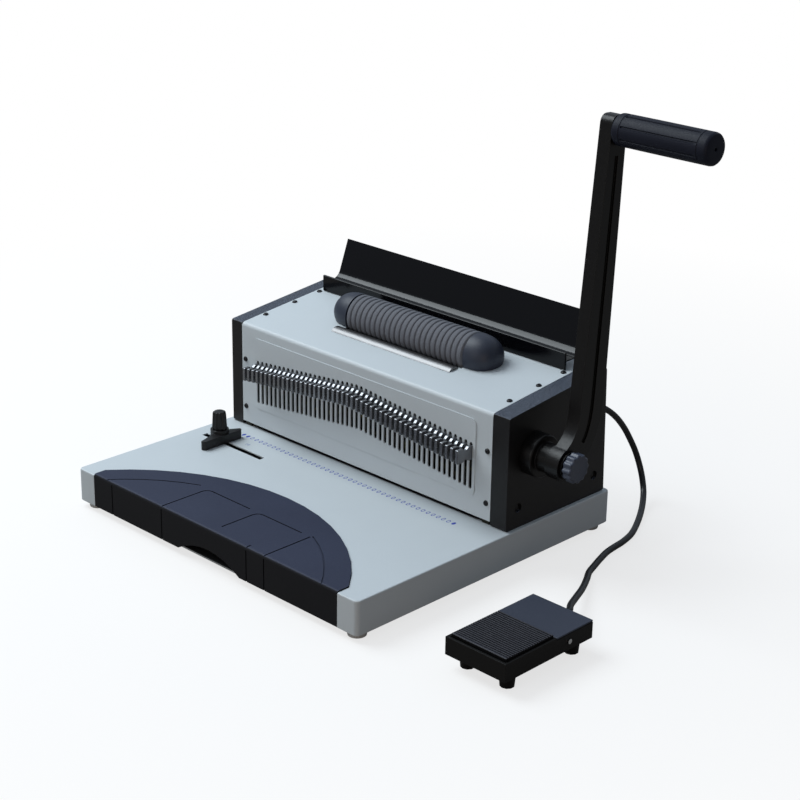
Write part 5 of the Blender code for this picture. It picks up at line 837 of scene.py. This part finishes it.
def added(shape, other):
    """Adds one bmesh to another and frees it."""
    spare = bpy.data.meshes.new("spare")
    other.to_mesh(spare)
    other.free()
    shape.from_mesh(spare)
    bpy.data.meshes.remove(spare)
    return shape


def screw(place, facing):
    """A domed head with a sunk cross, as a bmesh at its place."""
    head = turned(HEAD_OUTLINE, (0, 0, 0), steps=WEDGES)
    arms = []
    for face in head.faces:
        middle = face.calc_center_median()
        out = math.hypot(middle.x, middle.y)
        turn = math.degrees(math.atan2(middle.y, middle.x)) % 90
        crown = out < CROSS_REACH and middle.z > HEAD_RISE * 0.8
        if crown and (turn < 360 / WEDGES or out < CROSS_HUB):
            arms.append(face)
    sunk = bmesh.ops.extrude_face_region(head, geom=arms)
    bmesh.ops.delete(head, geom=arms, context="FACES")
    bmesh.ops.translate(head, vec=(0, 0, -CROSS_DEPTH), verts=new_points(sunk))
    return stood(head, place, facing)


screw_places = []
for side in (-1, 1):
    for height in FRONT_SCREWS:
        screw_places.append((Vector((side * SCREW_X, 0, BASE_TOP + height)), FRONT_FACING))
    for depth in ROOF_SCREWS:
        screw_places.append((Vector((side * SCREW_X, depth, roof(depth))), ROOF_FACING))
cover_screws = bmesh.new()
for place, facing in screw_places:
    added(cover_screws, screw(place, facing))
piece("cover_screws", cover_screws, "base", screw_black)

# %% [markdown]
# The cover is a folded sheet with 46 slots in its front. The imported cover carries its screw
# heads, which are painted like it. Here they are cut off the copy and the wall is closed
# behind them, because the real screws are black.

# %% Cover
CUT_RADIUS = 0.0034
CUT_ABOVE = 0.0002
CUT_DEPTH = 0.0003


def open_edges(shape):
    """The edges of a shape that only one face holds."""
    return [edge for edge in shape.edges if edge.is_boundary]


def without_heads(shape):
    """Takes the screw heads off the copied cover and closes the wall behind them."""
    doomed = []
    for face in shape.faces:
        for place, facing in screw_places:
            near = [v.co - place for v in face.verts]
            tall = [offset.dot(facing) for offset in near]
            wide = [(offset - facing * lift).length for offset, lift in zip(near, tall)]
            if max(wide) < CUT_RADIUS and max(tall) > CUT_ABOVE and min(tall) > -CUT_DEPTH:
                doomed.append(face)
                break
    bmesh.ops.delete(shape, geom=doomed, context="FACES")
    bmesh.ops.holes_fill(shape, edges=open_edges(shape), sides=40)
    return shape


cover = without_heads(copied("front_cover"))
print("open edges left on the cover:", len(open_edges(cover)))
piece("cover_sheet", cover, "base", cover_paint, ["front_cover"])

# %% [markdown]
# The side panels are thick and powder coated, with softly rounded outer edges.

# %% Side panels
for side in ("left", "right"):
    shell = f"{side}_panel_shell"
    eased(shell, f"{side}_side_panel", "base", panel_black, width=0.0006)

# %% [markdown]
# Each pull plate is cut from 3 mm sheet: a body that goes into the cover, a waist for the
# fingers and a head. One face is drawn, its corners are rounded, it is pushed out to its
# thickness and its rims are eased.

# %% Pull plate
PLATE_THICKNESS = 0.003
PLATE_TOP = BASE_TOP + 0.0715
PLATE_LOW = PLATE_TOP - 0.0135
PLATE_OUTLINE = (
    (-0.0052, PLATE_TOP),
    (-0.0078, PLATE_TOP - 0.0025),
    (-0.0105, PLATE_TOP - 0.0025),
    (-0.0125, PLATE_TOP - 0.0002),
    (-0.0196, PLATE_TOP - 0.0002),
    (-0.0196, PLATE_LOW),
    (-0.0122, PLATE_LOW),
    (-0.0098, PLATE_LOW + 0.0023),
    (-0.0078, PLATE_LOW + 0.0023),
    (-0.0056, PLATE_LOW),
)
CORNER_RADIUS = 0.0011
RIM_RADIUS = 0.00035


def pushed(shape, length):
    """Pushes a flat face out to the right, which makes it a closed bar."""
    grown = bmesh.ops.extrude_face_region(shape, geom=shape.faces[:])
    bmesh.ops.translate(shape, vec=RIGHT * length, verts=new_points(grown))
    bmesh.ops.recalc_face_normals(shape, faces=shape.faces)
    return shape


def pull_plate(tail):
    """One plate with rounded corners, on the middle line at the row's lowest height."""
    corners = ((tail, PLATE_LOW), (tail, PLATE_TOP), *PLATE_OUTLINE)
    plate = bmesh.new()
    plate.faces.new([plate.verts.new((-PLATE_THICKNESS / 2, y, z)) for y, z in corners])
    soft = [v for v in plate.verts if v.co.y < tail - HAIR]
    bevelled(plate, soft, CORNER_RADIUS, 3, "VERTICES")
    return rounded(pushed(plate, PLATE_THICKNESS), RIM_RADIUS, 60)


print("a pull plate is", PLATE_THICKNESS, "metres thick")

# %% [markdown]
# The row is this one plate, moved along and stepped up to the middle of the row. Three of the
# plates slide on their own, so that a user can leave a hole out near the sheet's ends. They
# have a longer tail and are pieces of their own.

# %% Row of pull plates
FIXED_TAIL = 0.0046
SLIDING_TAIL = 0.0124
CHEVRON_RISE = 0.0144
SLIDING = {0: "first", 1: "second", PIN_COUNT - 1: "last"}

plate_row = bmesh.new()
for number in range(PIN_COUNT):
    plate = pull_plate(SLIDING_TAIL if number in SLIDING else FIXED_TAIL)
    step_up = CHEVRON_RISE * (1 - abs(2 * number / (PIN_COUNT - 1) - 1))
    bmesh.ops.translate(plate, vec=(pin_x(number), 0, step_up), verts=plate.verts)
    if number in SLIDING:
        word = SLIDING[number]
        name, body, node = f"{word}_pull_plate", f"{word}_plate", f"pull_plate_{word}"
        piece(name, plate, body, plate_nickel, [node], smooth=30)
    else:
        added(plate_row, plate)
piece("pull_plate_row", plate_row, "ram", plate_nickel, smooth=30)

# %% [markdown]
# Behind the plates moves the ram: a bar with a square punch under each plate and a toothed
# rack at each end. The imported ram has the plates' stubs on its front, so the copy loses
# everything in front of the bar and its face is closed again.

# %% Ram
BAR_FRONT = 0.0045
PUNCHES_TOP = BASE_TOP + 0.056

ram = copied("pressure_bar")
stubs = [
    face
    for face in ram.faces
    if min(v.co.y for v in face.verts) < BAR_FRONT - HAIR
    and max(v.co.y for v in face.verts) < BAR_FRONT + HAIR
    and max(v.co.z for v in face.verts) > PUNCHES_TOP
]
bmesh.ops.delete(ram, geom=stubs, context="FACES")
bmesh.ops.holes_fill(ram, edges=open_edges(ram), sides=60)
bmesh.ops.edgeloop_fill(ram, edges=open_edges(ram))
bmesh.ops.recalc_face_normals(ram, faces=ram.faces)
print("open edges left on the ram:", len(open_edges(ram)))
piece("ram_bar", ram, "ram", ram_oiled, ["pressure_bar"])

# %% [markdown]
# The coil roller sticks out of the roof between two domed caps. Its rubber sleeve has 23 round
# ribs with narrow dark grooves between them, so its profile is one rib repeated along the
# axis and spun once.

# %% Roller sleeve
SLEEVE_HALF = 0.0763
SLEEVE_RIBS = 23
SLEEVE_BORE = 0.0043
GROOVE_RADIUS = 0.0185
RIB_OUTLINE = (
    (0.10, 0.0188),
    (0.16, 0.0196),
    (0.28, 0.0200),
    (0.72, 0.0200),
    (0.84, 0.0196),
    (0.90, 0.0188),
)
rib_pitch = 2 * SLEEVE_HALF / SLEEVE_RIBS
profile = [(SLEEVE_BORE, -SLEEVE_HALF), (GROOVE_RADIUS, -SLEEVE_HALF)]
for rib in range(SLEEVE_RIBS):
    start = -SLEEVE_HALF + rib * rib_pitch
    profile += [(radius, start + share * rib_pitch) for share, radius in RIB_OUTLINE]
profile += [(GROOVE_RADIUS, SLEEVE_HALF), (SLEEVE_BORE, SLEEVE_HALF)]
sleeve = turned(profile, (ROLLER_X, ROLLER_Y, ROLLER_Z), RIGHT, 72, hollow=True)
piece("coil_sleeve", sleeve, "roller", sleeve_grey, ["ribbed_sleeve"], smooth=50)

# %% [markdown]
# Each cap is a thin moulded dome that is cut off level with the roof. The dome's outline is
# fuller than an ellipse, and its inner wall follows it, so it is spun with both walls and a
# thin web for the shaft's bush, and then bisected along the roof.

# %% Roller caps
DOME_STEPS = 14
DOME_FULLNESS = 0.80
DOME_WALLS = ((0.0202, 0.0281), (0.0178, 0.0256))
WEB_OUTLINE = ((0.0073, 0.0022), (0.0190, 0.0022), (0.0190, 0.0052), (0.0073, 0.0052))
CAP_GAPS = (("left", -1, 0.0005), ("right", 1, 0.0018))


def quarter(radius, length):
    """A quarter outline from the rim to the crown, fuller than an ellipse."""
    turns = [i / DOME_STEPS * math.pi / 2 for i in range(DOME_STEPS + 1)]
    outs = [radius * math.cos(turn) ** DOME_FULLNESS for turn in turns]
    alongs = [length * math.sin(turn) ** DOME_FULLNESS for turn in turns]
    return [(out if out > HAIR else 0.0, along) for out, along in zip(outs, alongs)]


for side, way, gap in CAP_GAPS:
    outside, inside = [quarter(radius, length - gap) for radius, length in DOME_WALLS]
    dome = turned(outside + inside[::-1], (0, 0, 0), RIGHT * way, hollow=True)
    added(dome, turned(WEB_OUTLINE, (0, 0, 0), RIGHT * way, hollow=True))
    place = (ROLLER_X + way * (SLEEVE_HALF + gap), ROLLER_Y, ROLLER_Z)
    bmesh.ops.translate(dome, vec=place, verts=dome.verts)
    bmesh.ops.bisect_plane(
        dome,
        geom=dome.verts[:] + dome.edges[:] + dome.faces[:],
        plane_co=(0, 0, ROOF_FRONT + SEAT_GAP),
        plane_no=ROOF_FACING,
        clear_inner=True,
    )
    bmesh.ops.holes_fill(dome, edges=open_edges(dome), sides=400)
    bmesh.ops.recalc_face_normals(dome, faces=dome.faces)
    name, node = f"{side}_roller_dome", f"{side}_roller_cap"
    piece(name, dome, "base", shelf["cap_blue"], [node], smooth=45)

# %% [markdown]
# In front of the roller lies a bright half-round strip that coils slide over. Its section is
# one arc, spun from a point and closed by its flat back, and pushed along the row.

# %% Guard strip
GUARD_HALF = 0.0785
GUARD_MIDDLE = 0.04405
GUARD_CHORD = 0.00635
GUARD_RISE = 0.0028

bend = (GUARD_CHORD**2 + GUARD_RISE**2) / (2 * GUARD_RISE)
reach = math.asin(GUARD_CHORD / bend)
strip = bmesh.new()
low = bend * math.cos(reach) - (bend - GUARD_RISE)
first = strip.verts.new((-GUARD_HALF, -GUARD_CHORD, low))
bmesh.ops.spin(
    strip,
    geom=[first],
    cent=(-GUARD_HALF, 0, GUARD_RISE - bend),
    axis=RIGHT,
    angle=-2 * reach,
    steps=14,
)
bmesh.ops.contextual_create(strip, geom=strip.verts[:])
pushed(strip, 2 * GUARD_HALF)
lean = Matrix.Rotation(math.atan(ROOF_SLOPE), 4, "X")
spot = Matrix.Translation((0, GUARD_MIDDLE, roof(GUARD_MIDDLE) + SEAT_GAP))
bmesh.ops.transform(strip, matrix=spot @ lean, verts=strip.verts)
piece("guard_strip", strip, "base", strip_metal, ["coil_guard"], smooth=40)

# %% [markdown]
# The tray behind the roller is sheet steel. A sheet is easiest to make as a folder of flats:
# a few edges are pushed along the row, the fold is bevelled to its bend radius, and solidify
# gives the sheet its thickness.

# %% Coil tray
TRAY_HALF = 0.1605
TRAY_SHEET = 0.0012
BEND_RADIUS = 0.012
LIP_Y = 0.1033
TROUGH_RISE = 0.0085
TROUGH_FRONT = LIP_Y + 0.0020
FOLD_Y = LIP_Y + 0.0219
WALL_BACK = LIP_Y + 0.0362
WALL_RISE = 0.0480

trough_floor = roof(LIP_Y) + TROUGH_RISE
corners = (
    (TROUGH_FRONT, trough_floor),
    (FOLD_Y, trough_floor),
    (WALL_BACK, roof(LIP_Y) + WALL_RISE),
)
tray = bmesh.new()
points = [tray.verts.new((-TRAY_HALF, y, z)) for y, z in corners]
edges = [tray.edges.new(pair) for pair in zip(points, points[1:])]
grown = bmesh.ops.extrude_edge_only(tray, edges=edges)
bmesh.ops.translate(tray, vec=(2 * TRAY_HALF, 0, 0), verts=new_points(grown))
fold = [e for e in tray.edges if all(abs(v.co.y - FOLD_Y) < HAIR for v in e.verts)]
bevelled(tray, fold, BEND_RADIUS * math.tan(fold[0].calc_face_angle() / 2), 10)
bmesh.ops.recalc_face_normals(tray, faces=tray.faces)
bmesh.ops.solidify(tray, geom=tray.faces[:], thickness=TRAY_SHEET)
bmesh.ops.recalc_face_normals(tray, faces=tray.faces)
print("tray folded,", len(tray.faces), "faces")

# %% [markdown]
# The tray's front lip is a hem, folded double, so it is a flat bar with rounded edges. Two round
# spacers hold the tray up over the roof.

# %% Tray lip and spacers
LIP_DEPTH = 0.0024
LIP_RISE = 0.0170
LIP_ROUND = 0.0007
SPACER_X = 0.110
SPACER_Y = LIP_Y + 0.0098
SPACER_RADIUS = 0.0045

lip_low = roof(LIP_Y + LIP_DEPTH) + SEAT_GAP
lip_top = roof(LIP_Y) + LIP_RISE
lip_spot = Matrix.Translation((0, LIP_Y + LIP_DEPTH / 2, (lip_low + lip_top) / 2))
lip_size = Matrix.Diagonal((2 * TRAY_HALF, LIP_DEPTH, lip_top - lip_low, 1))
lip = bmesh.new()
bmesh.ops.create_cube(lip, size=1, matrix=lip_spot @ lip_size)
added(tray, rounded(lip, LIP_ROUND, 60, 3))
for side in (-1, 1):
    low = roof(SPACER_Y + SPACER_RADIUS) + SEAT_GAP
    tall = trough_floor - TRAY_SHEET / 2 - low
    outline = ((0.0, 0.0), (SPACER_RADIUS, 0.0), (SPACER_RADIUS, tall), (0.0, tall))
    added(tray, turned(outline, (side * SPACER_X, SPACER_Y, low), steps=24))
piece("coil_trough", tray, "base", gloss_black, ["coil_tray"], smooth=30)

# %% [markdown]
# The lever turns on a fixed hub: a wide boss on the side panel and a narrower collar. The arm's
# eye sits against it, held by a washer and a lobed hand knob.

# %% Lever arm and hub
HUB_START = 0.1867
HUB_OUTLINE = (
    (0.0084, 0.0),
    (0.0200, 0.0),
    (0.0200, 0.0118),
    (0.0196, 0.0128),
    (0.0187, 0.0135),
    (0.0143, 0.0135),
    (0.0137, 0.0139),
    (0.0135, 0.0146),
    (0.0135, 0.0250),
    (0.0084, 0.0250),
)
ARM_OUTER = 0.227
WASHER_START = ARM_OUTER + SEAT_GAP
WASHER_OUTLINE = (
    (0.0033, 0.0),
    (0.0126, 0.0),
    (0.0128, 0.0003),
    (0.0128, 0.0018),
    (0.0122, 0.0022),
    (0.0033, 0.0022),
)
hub = turned(HUB_OUTLINE, (HUB_START, SHAFT_Y, SHAFT_Z), RIGHT, 72, hollow=True)
piece("lever_hub", hub, "base", arm_enamel, ["shaft_hub"], smooth=30)
eased(
    "arm_casting",
    "lever_arm",
    "lever",
    arm_enamel,
    width=0.0009,
    angle=35,
    segments=3,
    smooth=30,
)
washer = turned(WASHER_OUTLINE, (WASHER_START, SHAFT_Y, SHAFT_Z), RIGHT, hollow=True)
piece("lever_washer", washer, "lever", arm_enamel, ["knob_washer"])

# %% [markdown]
# The hand knob is a short round bar with twelve hollows round its rim. A spun profile gives
# its rounded edges and dished face, and then each point moves in or out with a wave that
# goes round twelve times. Its stud reaches back into the arm.

# %% Hand knob
KNOB_OUTLINE = (
    (0.0, 0.0),
    (0.0122, 0.0),
    (0.0131, 0.0005),
    (0.0135, 0.0014),
    (0.0135, 0.0080),
    (0.0131, 0.0090),
    (0.0124, 0.0095),
    (0.0104, 0.0095),
    (0.0100, 0.0092),
    (0.0, 0.0092),
)
KNOB_STUD = ((0.0, -0.0148), (0.0026, -0.0148), (0.0030, -0.0144), (0.0030, 0.0005), (0.0, 0.0005))
KNOB_PLACE = Vector((ARM_OUTER + 0.0028, SHAFT_Y, SHAFT_Z))


def waved(shape, centre, axis, count, depth, from_radius):
    """Moves the outer points of a spun shape in and out, count times round."""
    for point in shape.verts:
        offset = point.co - centre
        out = offset - axis * offset.dot(axis)
        if out.length > from_radius:
            one, two = [sideways for sideways, along in zip(out, axis) if not along]
            wave = math.cos(count * math.atan2(two, one))
            push = depth * (1 + wave) / 2
            point.co += out.normalized() * (push - depth)
    return shape


knob = turned(KNOB_OUTLINE, KNOB_PLACE, RIGHT, 144)
waved(knob, KNOB_PLACE, RIGHT, 12, depth=0.0014, from_radius=0.0110)
added(knob, turned(KNOB_STUD, KNOB_PLACE, RIGHT, 24))
knob_grey = shelf["knob_grey"]
piece("hand_knob", knob, "arm_knob", knob_grey, ["lever_knob"], smooth=40)

# %% [markdown]
# The grip is a rubber sleeve over a steel rod, with a plain collar at its outer end and eight
# long grooves. The grooves are pressed into the spun profile: points near a groove's line
# move in towards the axis.

# %% Handle grip
GRIP_START = ARM_OUTER + SEAT_GAP
GRIP_END = 0.0971
GRIP_OUTLINE = (
    (0.0063, 0.0),
    (0.0112, 0.0),
    (0.0130, 0.0006),
    (0.01375, 0.0018),
    (0.01395, 0.0030),
    (0.01395, 0.0078),
    (0.0135, 0.0083),
    (0.0135, 0.0089),
    (0.0140, 0.0095),
    (0.0140, 0.0100),
    (0.01405, 0.0450),
    (0.0140, 0.0824),
    (0.0140, 0.0866),
    (0.0136, 0.0871),
    (0.0136, 0.0877),
    (0.0140, 0.0882),
    (0.0140, 0.0936),
    (0.0136, 0.0954),
    (0.0126, 0.0966),
    (0.0110, GRIP_END),
    (0.0030, GRIP_END),
    (0.0016, 0.0967),
    (0.0016, 0.0878),
    (0.0063, 0.0877),
)
FLUTE_ENDS = (0.0096, 0.0831)
FLUTE_DEPTH = 0.0009
FLUTE_APART = 45
FLUTE_HALF = 3.0
UNDER_SKIN = 0.013

grip = turned(GRIP_OUTLINE, (GRIP_START, GRIP_Y, GRIP_Z), RIGHT, 160, hollow=True)
for point in grip.verts:
    along = point.co.x - GRIP_START
    out = Vector((point.co.y - GRIP_Y, point.co.z - GRIP_Z))
    turn = math.degrees(math.atan2(out.y, out.x)) % FLUTE_APART - FLUTE_APART / 2
    on_line = FLUTE_ENDS[0] < along < FLUTE_ENDS[1] and abs(turn) < FLUTE_HALF
    if on_line and out.length > UNDER_SKIN:
        inwards = out.normalized() * FLUTE_DEPTH
        point.co.y -= inwards.x
        point.co.z -= inwards.y
grip_black = shelf["grip_black"]
piece("rubber_grip", grip, "lever", grip_black, ["handle_grip"], smooth=30)

# %% [markdown]
# The margin stop slides in the slot of the base and is clamped by a fluted knob that narrows
# towards its top. The knob's stud goes down through the slot.

# %% Margin stop
CLAMP_OUTLINE = (
    (0.0, 0.0),
    (0.0072, 0.0),
    (0.0076, 0.0005),
    (0.0075, 0.0030),
    (0.0068, 0.0155),
    (0.0062, 0.0172),
    (0.0050, 0.0178),
    (0.0, 0.0178),
)
CLAMP_STUD = ((0.0, 0.0), (0.0017, 0.0), (0.0020, 0.0003), (0.0020, 0.0182), (0.0, 0.0182))
CLAMP_X = -0.150
CLAMP_Y = -0.0455
CLAMP_PLACE = Vector((CLAMP_X, CLAMP_Y, BASE_TOP + 0.0131))
STUD_LOW = 0.0342

eased(
    "stop_fence",
    "side_stop",
    "margin_stop",
    black_plastic,
    width=0.0005,
    angle=35,
    segments=3,
)
clamp = turned(CLAMP_OUTLINE, CLAMP_PLACE, steps=120)
waved(clamp, CLAMP_PLACE, UP, 10, depth=0.0011, from_radius=0.0060)
added(clamp, turned(CLAMP_STUD, (CLAMP_X, CLAMP_Y, STUD_LOW), steps=20))
piece("clamp_knob", clamp, "margin_knob", black_plastic, ["stop_knob"], smooth=40)

# %% [markdown]
# The pedal is a steel box with a hinged ribbed plate in front and a fixed cover behind. Its
# pin shows as a bright domed head on each side. The plate's copy is cut level under its ribs,
# and twenty rounded ribs and a rounded nose are laid on it instead, so that each rib has a
# crest that catches the light.

# %% Pedal
TREAD_RIBS = 20
RIB_RISE = 0.0011
RIB_HALF_SHARE = 0.30
NOSE = 0.0026
RIB_SECTION = (
    (-1.0, -0.2),
    (-1.0, 0.35),
    (-0.75, 0.75),
    (-0.3, 1.0),
    (0.3, 1.0),
    (0.75, 0.75),
    (1.0, 0.35),
    (1.0, -0.2),
)
eased("pedal_case", "pedal_box", "base", pedal_black, width=0.0006)
eased("pedal_lid", "pedal_rear_cover", "base", pedal_slate, width=0.0006)
tread = copied("treadle")
crests = [v.co.copy() for v in tread.verts if v.co.z > TREAD_LEVEL + 0.0009]
left, right = min(p.x for p in crests), max(p.x for p in crests)
near, far = min(p.y for p in crests), max(p.y for p in crests)
bmesh.ops.bisect_plane(
    tread,
    geom=tread.verts[:] + tread.edges[:] + tread.faces[:],
    plane_co=(0, 0, TREAD_LEVEL),
    plane_no=UP,
    clear_outer=True,
)
bmesh.ops.edgeloop_fill(tread, edges=open_edges(tread))
spacing = (far - near - NOSE) / TREAD_RIBS
bars = [(near + NOSE / 2, NOSE / 2)]
for rib in range(TREAD_RIBS):
    bars.append((near + NOSE + (rib + 0.5) * spacing, spacing * RIB_HALF_SHARE))
for middle, half in bars:
    bar = bmesh.new()
    places = [(left, middle + y * half, TREAD_LEVEL + z * RIB_RISE) for y, z in RIB_SECTION]
    bar.faces.new([bar.verts.new(place) for place in places])
    added(tread, pushed(bar, right - left))
print("open edges left on the tread:", len(open_edges(tread)))
piece("foot_plate", tread, "pedal_plate", tread_black, ["treadle"], smooth=30)

# %% [markdown]
# The back wall carries the vents, the mains inlet, the rocker and the cord's gland. They are
# copies with eased edges.

# %% Rear fittings
eased("back_wall", "rear_cover", "base", panel_black, width=0.0003, angle=50)
for name, node in (
    ("mains_inlet", "power_inlet"),
    ("rocker_frame", "switch_case"),
    ("cord_sleeve", "cord_gland"),
):
    eased(name, node, "base", black_plastic, width=0.0003, angle=50)
eased("rocker_key", "power_rocker", "rocker", black_plastic, width=0.0004)
